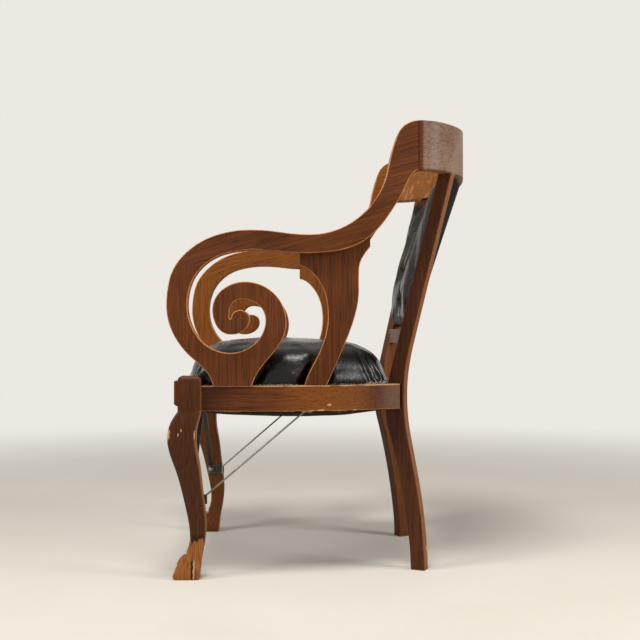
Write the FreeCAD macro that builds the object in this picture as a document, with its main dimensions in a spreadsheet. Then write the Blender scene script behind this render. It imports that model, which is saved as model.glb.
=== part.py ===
"""Billiard chair: an oak scroll-arm chair with a sprung leather seat and a tufted leather back.

Millimetres, +Z up. The chair faces -Y and the sitter's left is +X. The origin lies on the floor, under
the middle of the chair. Pieces that come in pairs are built on the left and mirrored to the right.
"""
import FreeCAD, Part
import math
import os
import re
from types import SimpleNamespace

SIZES = {
    # seat frame
    "rail_bottom": 388,
    "rail_height": 59,
    "rail_thick": 28,
    "side_rail_front_x": 295,
    "side_rail_middle_x": 290,
    "side_rail_middle_y": -17,
    "side_rail_end_x": 211,
    "side_rail_end_y": 186,
    "side_rail_end_heading": 118,
    "front_rail_y": -313,
    "back_rail_thick": 26,
    "back_rail_lead": 30,
    "cross_rail_rise": 97,
    "cross_rail_height": 36,
    "cross_rail_thick": 22,
    "cross_rail_set": 7,
    "tenon_length": 18,
    "tenon_thick": 10,
    "tenon_height": 40,
    "corner_block_height": 40,
    "corner_block_reach": 62,
    # front legs
    "leg_center_x": 283.5,
    "leg_block_width": 50,
    "leg_block_front": -337,
    "leg_block_rear": -284,
    "leg_block_rise": 23,
    "leg_block_crown": 10,
    "leg_round": 7,
    "toe_groove": 9,
    "ankle_groove": 14,
    "tablet_thick": 8.5,
    "tablet_width": 40,
    "tablet_height": 58,
    # rear legs, sawn from a flat board that is turned about the upright
    "rear_leg_x": 186.5,
    "rear_leg_y": 199.6,
    "rear_leg_thick": 30,
    "rear_leg_turn": 26,
    "back_rake": 0.2575,
    "post_tenon_width": 20,
    "post_tenon_thick": 12,
    "post_tenon_height": 25,
    # crest and arms
    "crest_rise": 504,
    "crest_height": 115,
    "crest_thick": 32,
    "crest_depth": 141,
    "seam_y": 223,
    "arm_center_x": 283.5,
    "arm_thick": 40,
    "support_thick": 30,
    "support_inset": 20,
    "edge_round": 3,
    # dowels
    "dowel": 9,
    "dowel_length": 50,
    "scroll_dowel_step": 22,
    "support_dowel_step": 12,
    # seat
    "seat_crown": 103,
    "seat_draw": 185,
    "cover_thick": 2.5,
    "seat_notch": 30,
    "soft_gap": 0.3,
    "hessian_rise": 48,
    "hessian_thick": 1.2,
    "hessian_inset": 36,
    "web_width": 46,
    "web_thick": 2,
    "spring_radius": 30,
    "spring_wire": 3.6,
    "spring_turns": 4,
    "dust_cover_sag": 30,
    "dust_cover_thick": 1,
    # back
    "pad_low": 8,
    "pad_top_gap": 10,
    "pad_thick": 26,
    "pad_swell": 35,
    "pad_shoulder": 24,
    "pad_hollow_low": 8,
    "pad_hollow_high": 46,
    "lining_thick": 2,
    "button": 13,
    "tuft_radius": 26,
    "tuft_depth": 7,
    # iron braces
    "clip_height": 180,
    "clip_width": 45,
    "clip_inset": 18,
    "clip_lead": 4,
    "clip_tall": 22,
    "clip_thick": 3,
    "bolt": 6,
    "bolt_head": 14,
    "bolt_length": 26,
    "rod": 4.5,
    "rod_end_y": -38,
    "rod_tab_length": 24,
    "rod_tab_width": 16,
    "strap_width": 13,
    "strap_thick": 3,
    "strap_foot": 19,
    "strap_set": 4,
    "screw": 4,
    "screw_head": 8,
    "screw_length": 16,
}

doc = FreeCAD.newDocument("billiard_chair")
sheet = doc.addObject("Spreadsheet::Sheet", "Sizes")
for row, (alias, number) in enumerate(SIZES.items(), start=1):
    sheet.set("A%d" % row, alias)
    sheet.set("B%d" % row, str(number))
    sheet.setAlias("B%d" % row, alias)
doc.recompute()
S = SimpleNamespace(**{alias: float(sheet.get(alias)) for alias in SIZES})

RAIL_TOP = S.rail_bottom + S.rail_height
CREST_BOTTOM = RAIL_TOP + S.crest_rise
CREST_TOP = CREST_BOTTOM + S.crest_height
TURN = math.radians(S.rear_leg_turn)
nodes = []


# Drawing helpers

def vec(x, y, z=0.0):
    return FreeCAD.Vector(x, y, z)


def heading(degrees):
    """The unit direction at an angle from the first sketch axis."""
    return vec(math.cos(math.radians(degrees)), math.sin(math.radians(degrees)))


def arc_from(start, tangent, end):
    """The arc that leaves start along tangent and reaches end, or a line where they line up."""
    chord = end - start
    along = FreeCAD.Vector(chord).normalize()
    side = tangent - along * tangent.dot(along)
    if side.Length < 1e-4:
        return Part.LineSegment(start, end)
    half_turn = math.acos(max(-1.0, min(1.0, tangent.dot(along))))
    rise = chord.Length / 2 * math.tan(half_turn / 2)
    return Part.Arc(start, start + chord * 0.5 + side.normalize() * rise, end)


def biarcs(stations):
    """Pairs of arcs that pass through each station, given as a point and a direction."""
    edges = []
    for (start, leave), (end, arrive) in zip(stations, stations[1:]):
        span = end - start
        lead = span.dot(leave + arrive)
        spread = 2 * (1 - leave.dot(arrive))
        if spread < 1e-6:
            reach = span.dot(span) / (2 * lead)
        else:
            reach = (math.sqrt(lead * lead + spread * span.dot(span)) - lead) / spread
        join = (start + end + (leave - arrive) * reach) * 0.5
        edges.append(arc_from(start, leave, join))
        edges.append(arc_from(end, arrive * -1, join))
    return edges


def smooth(stations):
    """Pairs of arcs through stations given as two sketch coordinates and a heading."""
    return biarcs([(vec(u, w), heading(turn)) for u, w, turn in stations])


def chain(points):
    """Straight lines from point to point."""
    return [Part.LineSegment(vec(*a), vec(*b)) for a, b in zip(points, points[1:])]


def rounded(corners, radii):
    """A closed outline of straight sides whose corners are rounded."""
    count = len(corners)
    bends = []
    for i, (corner, radius) in enumerate(zip(corners, radii)):
        point = vec(*corner)
        arrive = (point - vec(*corners[i - 1])).normalize()
        leave = (vec(*corners[(i + 1) % count]) - point).normalize()
        cut_back = radius * math.tan(math.acos(arrive.dot(leave)) / 2)
        bends.append((point - arrive * cut_back, arrive, point + leave * cut_back))
    edges = []
    for (start, tangent, end), following in zip(bends, bends[1:] + bends[:1]):
        edges.append(arc_from(start, tangent, end))
        edges.append(Part.LineSegment(end, following[0]))
    return edges


def on_sheet(formula):
    """Points each size named in a formula at its cell."""
    return re.sub(r"[a-z_]+", lambda word: "Sizes." + word[0] if word[0] in SIZES else word[0], formula)


# Feature helpers

def sketch_in(body, name, plane, edges, offset=0.0):
    sketch = body.newObject("Sketcher::SketchObject", name)
    support = next(f for f in body.Origin.OriginFeatures if f.Role == plane)
    sketch.AttachmentSupport = [(support, "")]
    sketch.MapMode = "FlatFace"
    sketch.AttachmentOffset = FreeCAD.Placement(vec(0, 0, offset), FreeCAD.Rotation())
    sketch.addGeometry(edges, False)
    return sketch


def pad_in(body, name, plane, edges, length, offset=0.0, symmetric=False):
    """Pads a closed outline by a length from the sheet."""
    pad = body.newObject("PartDesign::Pad", name)
    pad.Profile = sketch_in(body, name + "_outline", plane, edges, offset)
    pad.SideType = "Symmetric" if symmetric else "One side"
    pad.setExpression("Length", on_sheet(length))
    return pad


def body_of(name, x="0", y="0", z="0"):
    body = doc.addObject("PartDesign::Body", name)
    for axis, formula in zip("xyz", (x, y, z)):
        body.setExpression("Placement.Base." + axis, on_sheet(formula))
    return body


def round_edges(body, base, radius, wanted):
    """Rounds the edges of the base feature that the test picks."""
    doc.recompute()
    names = ["Edge%d" % i for i, edge in enumerate(base.Shape.Edges, start=1) if wanted(edge)]
    fillet = body.newObject("PartDesign::Fillet", base.Name + "_rounded")
    fillet.Base = (base, names)
    fillet.setExpression("Radius", on_sheet(radius))
    return fillet


def rim_test(axis, low, high, straight_ends=()):
    """Picks the edges in the two flat faces of a board, but not those along its glued ends."""
    def test(edge):
        ends = [vertex.Point for vertex in edge.Vertexes]
        level = [getattr(point, axis) for point in ends]
        flat = any(all(abs(value - face) < 0.01 for value in level) for face in (low, high))
        return flat and not any(all(on_line(point) for point in ends) for on_line in straight_ends)
    return test


def line_test(first, second):
    """Tells whether a point lies over the line between two places on the YZ plane."""
    start, along = vec(*first), (vec(*second) - vec(*first)).normalize()
    return lambda point: (vec(point.y, point.z) - start).cross(along).Length < 0.01


def loft_body(name, sections, ruled=False):
    """A body lofted through outlines on level planes, each given with its height."""
    body = doc.addObject("PartDesign::Body", name)
    sketches = []
    for i, (height, edges) in enumerate(sections):
        sketches.append(sketch_in(body, "%s_section_%d" % (name, i), "XY_Plane", edges, height))
    loft = body.newObject("PartDesign::AdditiveLoft", name + "_loft")
    loft.Profile = sketches[0]
    loft.Sections = sketches[1:]
    loft.Ruled = ruled
    return body


def block(name, sizes, corner):
    """A square block from its three sizes and its low corner, all formulas on the sheet."""
    box = doc.addObject("Part::Box", name)
    places = ("Length", "Width", "Height", "Placement.Base.x", "Placement.Base.y", "Placement.Base.z")
    for place, formula in zip(places, sizes + corner):
        box.setExpression(place, on_sheet(formula))
    return box


def pin(name, diameter, length, start, direction):
    """A round pin from a start point along a direction."""
    rod = doc.addObject("Part::Cylinder", name)
    rod.setExpression("Radius", on_sheet(diameter + " / 2"))
    rod.setExpression("Height", on_sheet(length))
    rod.Placement = FreeCAD.Placement(start, FreeCAD.Rotation(vec(0, 0, 1), direction))
    return rod


def dome(name, diameter, start, direction):
    """A half ball whose flat side lies at the start point."""
    ball = doc.addObject("Part::Sphere", name)
    ball.setExpression("Radius", on_sheet(diameter + " / 2"))
    ball.Angle1 = 0
    ball.Placement = FreeCAD.Placement(start, FreeCAD.Rotation(vec(0, 0, 1), direction))
    return ball


def group(name, members):
    compound = doc.addObject("Part::Compound", name)
    compound.Links = members
    return compound


def cut(name, base, tools):
    """The base without the tools."""
    result = doc.addObject("Part::Cut", name)
    result.Base = base
    result.Tool = group(name + "_tools", tools) if len(tools) > 1 else tools[0]
    return result


def fuse(name, members):
    result = doc.addObject("Part::MultiFuse", name)
    result.Shapes = members
    return result


def mirrored(source, name):
    twin = doc.addObject("Part::Mirroring", name)
    twin.Source = source
    twin.Normal = vec(1, 0, 0)
    return twin


def node(piece, label):
    piece.Label = label
    nodes.append(piece)
    return piece


def pair(piece, label):
    """Keeps a left piece and its mirror image as two nodes."""
    node(piece, label + "_left")
    node(mirrored(piece, label + "_right"), label + "_right")


def both_sides(pieces, label):
    """Keeps left pieces and their mirror images as one node of separate solids."""
    node(group(label, pieces + [mirrored(piece, piece.Name + "_twin") for piece in pieces]), label)


def post_point(along, across, z=0.0):
    """A place on the left rear leg: along its board to the rear, across its board to the outside."""
    x = S.rear_leg_x + along * math.sin(TURN) + across * math.cos(TURN)
    y = S.rear_leg_y + along * math.cos(TURN) - across * math.sin(TURN)
    return vec(x, y, z)


# Arms: a scroll and an arm rail, glued end to end

ARM_OUTER_X = S.arm_center_x + S.arm_thick / 2
ARM_INNER_X = S.arm_center_x - S.arm_thick / 2
JOINT_OUTER = (-333, RAIL_TOP + 294)
JOINT_INNER = (-286, RAIL_TOP + 271)
SCROLL_FOOT = (-256, -166)
SUPPORT_FOOT = (-44, 8)


def rise_stations(stations):
    """Lifts stations that are measured from the top of the rails."""
    return [(y, RAIL_TOP + rise, turn) for y, rise, turn in stations]


def arm_board(name, edges, glued):
    body = body_of(name, x="arm_center_x")
    pad = pad_in(body, name + "_pad", "YZ_Plane", edges, "arm_thick", symmetric=True)
    ends = [line_test(*end) for end in glued]
    half = S.arm_thick / 2
    round_edges(body, pad, "edge_round", rim_test("x", -half, half, ends))
    return body


def scroll_body():
    front = rise_stations([(-333, 294, 230), (-364, 187.5, 270), (-302, 62.5, 320),
                           (SCROLL_FOOT[0], 0, 280)])
    coil = rise_stations([
        (SCROLL_FOOT[1], 0, 75), (-127, 64, 47), (-86, 148, 90), (-182, 242, 180), (-257.5, 176, 270),
        (-214.6, 119, 0), (-170.6, 155, 90), (-193.7, 176, 180), (-213.3, 158, 270), (-218, 158, 90),
        (-218, 171, 90), (-189, 201.4, 0), (-134.6, 153, 270), (-217, 76.3, 180), (-315.4, 187.5, 90),
        (-286, 271, 48)])
    foot = ((SCROLL_FOOT[0], RAIL_TOP), (SCROLL_FOOT[1], RAIL_TOP))
    joint = (JOINT_INNER, JOINT_OUTER)
    edges = smooth(front) + chain(foot) + smooth(coil) + chain(joint)
    return arm_board("scroll_board", edges, (foot, joint))


def arm_rail_body():
    seam = ((S.seam_y, CREST_BOTTOM), (S.seam_y, CREST_TOP))
    top = [(S.seam_y, CREST_TOP, 180)]
    top += rise_stations([(152, 511, 260), (-31.5, 352, 180), (-170.6, 362.5, 180), (-333, 294, 230)])
    under = rise_stations([
        (-286, 271, 48), (-159, 316, 0), (-44, 308.5, 0), (107.5, 347, 40), (177, 436, 60), (201, 484, 62)])
    under += [(S.seam_y, CREST_BOTTOM, 15)]
    joint = (JOINT_OUTER, JOINT_INNER)
    edges = smooth(top) + chain(joint) + smooth(under) + chain(seam)
    return arm_board("arm_rail_board", edges, (seam, joint))


def support_body():
    front = rise_stations([(-54.7, 280, 348), (-6, 238.5, 300), (11.4, 164, 270), (-13, 69, 243),
                           (SUPPORT_FOOT[0], 0, 256)])
    rear = rise_stations([(SUPPORT_FOOT[1], 0, 66), (47, 88, 67), (80, 187, 79), (84, 271, 88),
                          (110, 324, 48)])
    foot = ((SUPPORT_FOOT[0], RAIL_TOP), (SUPPORT_FOOT[1], RAIL_TOP))
    head = ((110, RAIL_TOP + 324), (110, RAIL_TOP + 360), (-54.7, RAIL_TOP + 325), (-54.7, RAIL_TOP + 280))
    body = body_of("support_board", x="arm_center_x + arm_thick / 2 - support_inset - support_thick / 2")
    edges = smooth(front) + chain(foot) + smooth(rear) + chain(head)
    pad = pad_in(body, "support_pad", "YZ_Plane", edges, "support_thick", symmetric=True)
    half = S.support_thick / 2
    straight = [line_test(*pair_of_ends) for pair_of_ends in (foot, head[:2], head[1:3], head[2:])]
    round_edges(body, pad, "edge_round", rim_test("x", -half, half, straight))
    return body


# Seat frame

def side_rail_stations(inset):
    """The plan of the side rail, at a distance inside its outer face."""
    stations = []
    for x, y, turn in ((S.side_rail_front_x, S.leg_block_rear, 90),
                       (S.side_rail_middle_x, S.side_rail_middle_y, 97),
                       (S.side_rail_end_x, S.side_rail_end_y, S.side_rail_end_heading)):
        outward = heading(turn - 90)
        stations.append((x - outward.x * inset, y - outward.y * inset, turn))
    front_x, _, turn = stations[0]
    stations[0] = (front_x, S.leg_block_rear, turn)
    return stations


def side_rail_body():
    outer = side_rail_stations(0.0)
    inner = side_rail_stations(S.rail_thick)
    end_x, end_y, turn = inner[-1]
    run = (S.side_rail_end_y - end_y) / math.sin(math.radians(turn))
    tail = (end_x + run * math.cos(math.radians(turn)), S.side_rail_end_y)
    edges = smooth(outer) + chain([outer[-1][:2], tail, inner[-1][:2]]) + smooth(inner)
    edges += chain([inner[0][:2], outer[0][:2]])
    body = body_of("side_rail_board", z="rail_bottom")
    pad_in(body, "side_rail_pad", "XY_Plane", edges, "rail_height")
    middle = S.side_rail_front_x - S.rail_thick / 2
    half = S.tenon_thick / 2
    back, front = S.leg_block_rear + half, S.leg_block_rear - S.tenon_length
    tenon = chain([(middle - half, front), (middle + half, front), (middle + half, back),
                   (middle - half, back), (middle - half, front)])
    pad_in(body, "side_rail_tenon", "XY_Plane", tenon, "tenon_height", (S.rail_height - S.tenon_height) / 2)
    return body


def cross_piece(name, thick, height, bottom, y, reach):
    """A rail between the rear legs: shouldered on the boards' faces, with a tenon into each leg."""
    bar = block(name + "_bar", (str(2 * reach), thick, height),
                (str(-reach), "%r - %s / 2" % (y, thick), bottom))
    long = reach + S.tenon_thick / 2
    tenon = block(name + "_tenon", (str(2 * long), "tenon_thick", height + " * 2 / 3"),
                  (str(-long), "%r - tenon_thick / 2" % y, bottom + " + " + height + " / 6"))
    return bar, tenon


POST_KNEE = RAIL_TOP + 71
POST_FRONT = -20


def rear_leg_body():
    """The sabre leg and the raked post above it, on one board."""
    knee = POST_KNEE
    rake = math.degrees(math.atan(S.back_rake))
    top_front = POST_FRONT + (CREST_BOTTOM - knee) * S.back_rake
    front = [(top_front, CREST_BOTTOM, 270 - rake), (POST_FRONT, knee, 270 - rake),
             (-44, S.rail_bottom, 270), (-21, 0.714 * S.rail_bottom, 284),
             (15.5, 0.204 * S.rail_bottom, 277), (21, 0, 272)]
    waist = RAIL_TOP + 96
    top_back = 20 + (CREST_BOTTOM - waist) * S.back_rake
    back = [(56, 0, 92), (32, 0.567 * S.rail_bottom, 101), (3, S.rail_bottom + S.rail_height / 2, 90),
            (20, waist, 90 - rake), (top_back, CREST_BOTTOM, 90 - rake)]
    foot = ((21, 0), (56, 0))
    head = ((top_back, CREST_BOTTOM), (top_front, CREST_BOTTOM))
    body = doc.addObject("PartDesign::Body", "rear_leg_board")
    pad = pad_in(body, "rear_leg_pad", "YZ_Plane", smooth(front) + chain(foot) + smooth(back) + chain(head),
                 "rear_leg_thick", symmetric=True)
    half = S.rear_leg_thick / 2
    round_edges(body, pad, "edge_round", rim_test("x", -half, half, [line_test(*head), line_test(*foot)]))
    middle = (top_front + top_back) / 2
    low, high = middle - S.post_tenon_width / 2, middle + S.post_tenon_width / 2
    tip = CREST_BOTTOM + S.post_tenon_height
    tenon = chain([(low, CREST_BOTTOM), (high, CREST_BOTTOM), (high, tip), (low, tip), (low, CREST_BOTTOM)])
    pad_in(body, "rear_leg_tenon", "YZ_Plane", tenon, "post_tenon_thick", symmetric=True)
    turn = FreeCAD.Rotation(vec(0, 0, 1), -S.rear_leg_turn)
    body.Placement = FreeCAD.Placement(vec(S.rear_leg_x, S.rear_leg_y), turn)
    return body


# Each row: share of the height up to the rails, front, rear, width inside and outside the middle of the leg
LEG_SECTIONS = (
    (0.0, -344, -287.6, 20, 21), (0.026, -348, -286.5, 21, 22), (0.07, -341.5, -284.5, 20, 21),
    (0.105, -337, -283, 18, 19), (0.15, -321, -280, 16, 17), (0.235, -309.6, -274.2, 14, 14),
    (0.4, -317, -273.8, 16, 16),
    (0.575, -333, -282.5, 19, 20), (0.745, -354.5, -292.5, 22, 26), (0.858, -360.6, -296, 23, 28),
    (0.95, -350, -289, 24, 27))


def front_leg_body():
    half = S.leg_block_width / 2
    sections = []
    rows = LEG_SECTIONS + ((1.0, S.leg_block_front, S.leg_block_rear, half, half),)
    for share, front, rear, inside, outside in rows:
        left, right = S.leg_center_x - inside, S.leg_center_x + outside
        corners = [(left, front), (right, front), (right, rear), (left, rear)]
        sections.append((share * S.rail_bottom, rounded(corners, [S.leg_round] * 4)))
    body = loft_body("front_leg_turned", sections)
    corners = [(S.leg_center_x - half, S.leg_block_front), (S.leg_center_x + half, S.leg_block_front),
               (S.leg_center_x + half, S.leg_block_rear), (S.leg_center_x - half, S.leg_block_rear)]
    pad = pad_in(body, "front_leg_block", "XY_Plane", rounded(corners, [S.edge_round] * 4),
                 "rail_height + leg_block_rise", S.rail_bottom)
    top = RAIL_TOP + S.leg_block_rise
    round_edges(body, pad, "leg_block_crown", lambda edge: all(abs(v.Z - top) < 0.01 for v in edge.Vertexes))
    return body


# Each row: the size of a groove, how far forward it lies and its height on the foot
TOE_GROOVES = (("toe_groove", -340.5, 31), ("ankle_groove", -323, 59))


def toe_grooves():
    """Two hollows across the front of a foot, which leave its carved lobes."""
    grooves = []
    for size, y, z in TOE_GROOVES:
        start = vec(S.leg_center_x - S.leg_block_width, y, z)
        grooves.append(pin(size + "_tool", size, "2 * leg_block_width", start, vec(1, 0, 0)))
    return grooves


# Each row: a place where the crest bends, as shares of its half width and its depth, and the heading there
CREST_BENDS = ((0.781, 0.66, 145), (0.544, 0.885, 170))


def crest_stations(inset):
    """The plan of the crest from seam to seam, at a distance inside its outer face."""
    bends = [(share * ARM_OUTER_X, depth * S.crest_depth, turn) for share, depth, turn in CREST_BENDS]
    left = []
    for x, depth, turn in [(ARM_OUTER_X, 0, 90)] + bends:
        outward = heading(turn - 90)
        left.append((x - outward.x * inset, S.seam_y + depth - outward.y * inset, turn))
    middle = (0, S.seam_y + S.crest_depth - inset, 180)
    return left + [middle] + [(-x, y, 360 - turn) for x, y, turn in reversed(left)]


def crest_body():
    """The curved band between the arms: round at its corners and flatter behind the sitter."""
    inner_x = ARM_OUTER_X - S.crest_thick
    edges = smooth(crest_stations(0.0)) + smooth(crest_stations(S.crest_thick))
    for side in (1, -1):
        edges += chain([(side * inner_x, S.seam_y), (side * ARM_OUTER_X, S.seam_y)])
    body = body_of("crest_band", z="rail_bottom + rail_height + crest_rise")
    pad = pad_in(body, "crest_pad", "XY_Plane", edges, "crest_height")
    rim = rim_test("z", 0, S.crest_height, [lambda point: abs(point.y - S.seam_y) < 0.01])
    round_edges(body, pad, "edge_round", rim)
    return body


def tablet_body():
    """The low tablet on the front of a leg block, rounded back at its foot."""
    back, front = S.leg_block_front, S.leg_block_front - S.tablet_thick
    high = RAIL_TOP + S.leg_block_rise / 2
    low = high - S.tablet_height
    edges = chain([(front, low + S.tablet_thick), (front, high), (back, high), (back, low)])
    edges.append(arc_from(vec(front, low + S.tablet_thick), heading(270), vec(back, low)))
    body = body_of("tablet_block", x="leg_center_x")
    pad_in(body, "tablet_pad", "YZ_Plane", edges, "tablet_width", symmetric=True)
    return body


def corner_block_body():
    """A three-sided block in the front corner of the seat frame, behind the leg."""
    leg_x = S.leg_center_x - S.leg_block_width / 2
    front = S.front_rail_y + S.rail_thick / 2
    side = S.side_rail_front_x - S.rail_thick / 2
    corners = [(leg_x - S.corner_block_reach, front), (leg_x, front), (leg_x, S.leg_block_rear),
               (side, S.leg_block_rear), (side, S.leg_block_rear + S.corner_block_reach)]
    body = body_of("corner_prism", z="rail_bottom + (rail_height - corner_block_height) / 2")
    pad_in(body, "corner_pad", "XY_Plane", chain(corners + corners[:1]), "corner_block_height")
    return body


def rail_face_x(y, inset):
    """Where the side rail's face, or a line inside it, crosses a given Y."""
    across = Part.makeLine(vec(0, y), vec(2 * S.side_rail_front_x, y))
    for edge in smooth(side_rail_stations(inset)):
        gap, points, _ = edge.toShape().distToShape(across)
        if gap < 1e-6:
            return points[0][0].x
    raise ValueError("the side rail has no face at y = %g" % y)


# Build the wood

side_rail = side_rail_body()
front_leg = front_leg_body()
rear_leg = rear_leg_body()
rear_leg_twin = mirrored(rear_leg, "rear_leg_twin")
scroll = scroll_body()
arm_rail = arm_rail_body()
support = support_body()
crest = crest_body()

front_bar = block("front_rail_bar", ("2 * leg_center_x - leg_block_width", "rail_thick", "rail_height"),
                  ("leg_block_width / 2 - leg_center_x", "front_rail_y - rail_thick / 2", "rail_bottom"))
front_tenon = block("front_rail_tenon",
                    ("2 * (leg_center_x + tenon_length) - leg_block_width", "tenon_thick", "tenon_height"),
                    ("leg_block_width / 2 - leg_center_x - tenon_length", "front_rail_y - tenon_thick / 2",
                     "rail_bottom + (rail_height - tenon_height) / 2"))
back_rail_middle = post_point(-S.back_rail_lead, 0)
back_bar, back_tenon = cross_piece("back_rail", "back_rail_thick", "rail_height", "rail_bottom",
                                   back_rail_middle.y, back_rail_middle.x)
cross_rail_middle = post_point(S.cross_rail_set, 0)
cross_bar, cross_tenon = cross_piece("cross_rail", "cross_rail_thick", "cross_rail_height",
                                     "rail_bottom + rail_height + cross_rail_rise",
                                     cross_rail_middle.y, cross_rail_middle.x)

# Dowels: upright under the arms, level across the crest joints and into the rear legs

UP = vec(0, 0, 1)
FOOT_MIDDLE = sum(SCROLL_FOOT) / 2
SUPPORT_OUTER_X = ARM_OUTER_X - S.support_inset
SUPPORT_FOOT_MIDDLE = sum(SUPPORT_FOOT) / 2

scroll_dowels = []
for i, step in enumerate((-S.scroll_dowel_step, S.scroll_dowel_step)):
    start = vec(S.side_rail_front_x - S.rail_thick / 2, FOOT_MIDDLE + step, RAIL_TOP - S.dowel_length / 2)
    scroll_dowels.append(pin("scroll_dowel_%d" % i, "dowel", "dowel_length", start, UP))

foot_dowels = []
for i, step in enumerate((-S.support_dowel_step, S.support_dowel_step)):
    x = (S.side_rail_middle_x - S.rail_thick + SUPPORT_OUTER_X) / 2
    start = vec(x, SUPPORT_FOOT_MIDDLE + step, RAIL_TOP - S.dowel_length / 2)
    foot_dowels.append(pin("support_foot_dowel_%d" % i, "dowel", "dowel_length", start, UP))

head_dowels = []
for i, (y, rise) in enumerate(((-15, 292), (60, 308))):
    start = vec((ARM_INNER_X + SUPPORT_OUTER_X) / 2, y, RAIL_TOP + rise)
    head_dowels.append(pin("support_head_dowel_%d" % i, "dowel", "dowel_length * 0.8", start, UP))

crest_dowels = []
for i, share in enumerate((0.3, 0.7)):
    start = vec(ARM_OUTER_X - S.crest_thick / 2, S.seam_y - S.dowel_length / 2,
                CREST_BOTTOM + share * S.crest_height)
    crest_dowels.append(pin("crest_dowel_%d" % i, "dowel", "dowel_length", start, vec(0, 1, 0)))

rail_dowels = []
inward = vec(-math.cos(TURN), math.sin(TURN))
half_post = S.rear_leg_thick / 2
end_along = (S.side_rail_end_y - S.rear_leg_y + half_post * math.sin(TURN)) / math.cos(TURN)
for i, share in enumerate((0.3, 0.7)):
    seat = post_point(end_along - S.dowel, half_post, S.rail_bottom + share * S.rail_height)
    rail_dowels.append(pin("rail_dowel_%d" % i, "dowel", "dowel_length * 0.7",
                           seat - inward * (0.4 * S.dowel_length), inward))

# Iron braces under the seat

CLIP_X = S.leg_center_x - S.clip_inset - S.clip_thick
STRAP_Y = S.front_rail_y + S.strap_set
clip_plate = block("clip_plate", ("2 * clip_thick", "clip_width", "clip_tall"),
                   ("leg_center_x - clip_inset - clip_thick", "front_rail_y - clip_lead",
                    "clip_height - clip_tall / 2"))


def strip(points, thick):
    """The outline of a bent strip about a line of points."""
    line = [vec(*point) for point in points]
    sides = ([], [])
    for i, point in enumerate(line):
        runs = [(b - a).normalize() for a, b in zip(line, line[1:])][max(i - 1, 0):i + 1]
        normal = vec(0, 0)
        for run in runs:
            normal += vec(-run.y, run.x)
        normal = normal.normalize()
        reach = thick / 2 / normal.dot(vec(-runs[0].y, runs[0].x))
        sides[0].append(point + normal * reach)
        sides[1].append(point - normal * reach)
    outline = sides[0] + sides[1][::-1] + sides[0][:1]
    return [Part.LineSegment(a, b) for a, b in zip(outline, outline[1:])]


def strap_body():
    """A flat iron strap from the clip up to the underside of the front rail."""
    half = S.strap_thick / 2
    low, high = S.clip_height - S.clip_tall / 2, S.clip_height + S.clip_tall / 2
    route = [(CLIP_X - half, low), (CLIP_X - half, high), (S.strap_foot, S.rail_bottom - half),
             (S.strap_thick / 2, S.rail_bottom - half)]
    body = body_of("strap_bar", y="front_rail_y + strap_set")
    pad_in(body, "strap_pad", "XZ_Plane", strip(route, S.strap_thick), "strap_width", symmetric=True)
    return body


def rod_sweep():
    """A round rod: its bent foot lies on the clip, its head runs up to the tab under the side rail."""
    foot_x = CLIP_X - S.rod / 2
    foot_y = S.front_rail_y - S.clip_lead + S.clip_width - S.rod
    head_x = S.side_rail_middle_x - S.rail_thick / 2
    low = vec(foot_x, foot_y, S.clip_height - S.clip_tall / 2)
    bend = vec(foot_x, foot_y, S.clip_height + S.clip_tall / 3)
    head = vec(head_x, S.rod_end_y - S.rod_tab_length / 4, S.rail_bottom - S.rod / 2)
    rise, run = (bend - low).normalize(), (head - bend).normalize()
    back = 2 * S.rod * math.tan(math.acos(rise.dot(run)) / 2)
    first, second = bend - rise * back, bend + run * back
    path = [Part.LineSegment(low, first), arc_from(first, rise, second), Part.LineSegment(second, head)]
    wire = Part.Wire([edge.toShape() for edge in path])
    ring = Part.Wire([Part.makeCircle(S.rod / 2, low, rise)])
    rod = doc.addObject("Part::Feature", "rod_sweep")
    rod.Shape = wire.makePipeShell([ring], True, True)
    return rod


strap = strap_body()
rod = rod_sweep()
rod_tab = block("rod_tab", ("rod_tab_width", "rod_tab_length", "strap_thick"),
                ("side_rail_middle_x - rail_thick / 2 - rod_tab_width / 2", "rod_end_y - rod_tab_length / 2",
                 "rail_bottom - strap_thick"))


def screw_up(name, x, y):
    """A round-head screw driven up through a strap's thickness below the rails."""
    seat = vec(x, y, S.rail_bottom - S.strap_thick)
    shank = pin(name + "_shank", "screw", "screw_length", seat, UP)
    return fuse(name, [shank, dome(name + "_head", "screw_head", seat, UP * -1)])


clip_seat = vec(CLIP_X - S.strap_thick, STRAP_Y, S.clip_height)
bolt_shank = pin("clip_bolt_shank", "bolt", "bolt_length", clip_seat, vec(1, 0, 0))
clip_bolt = fuse("clip_bolt", [bolt_shank, dome("clip_bolt_head", "bolt_head", clip_seat, vec(-1, 0, 0))])
rod_screw = screw_up("rod_screw", S.side_rail_middle_x - S.rail_thick / 2, S.rod_end_y + S.rod_tab_length / 4)
strap_screw = screw_up("strap_screw", S.strap_foot / 2, STRAP_Y)
strap_screw_twin = mirrored(strap_screw, "strap_screw_hole_twin")

# Fit the wood and iron together

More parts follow.
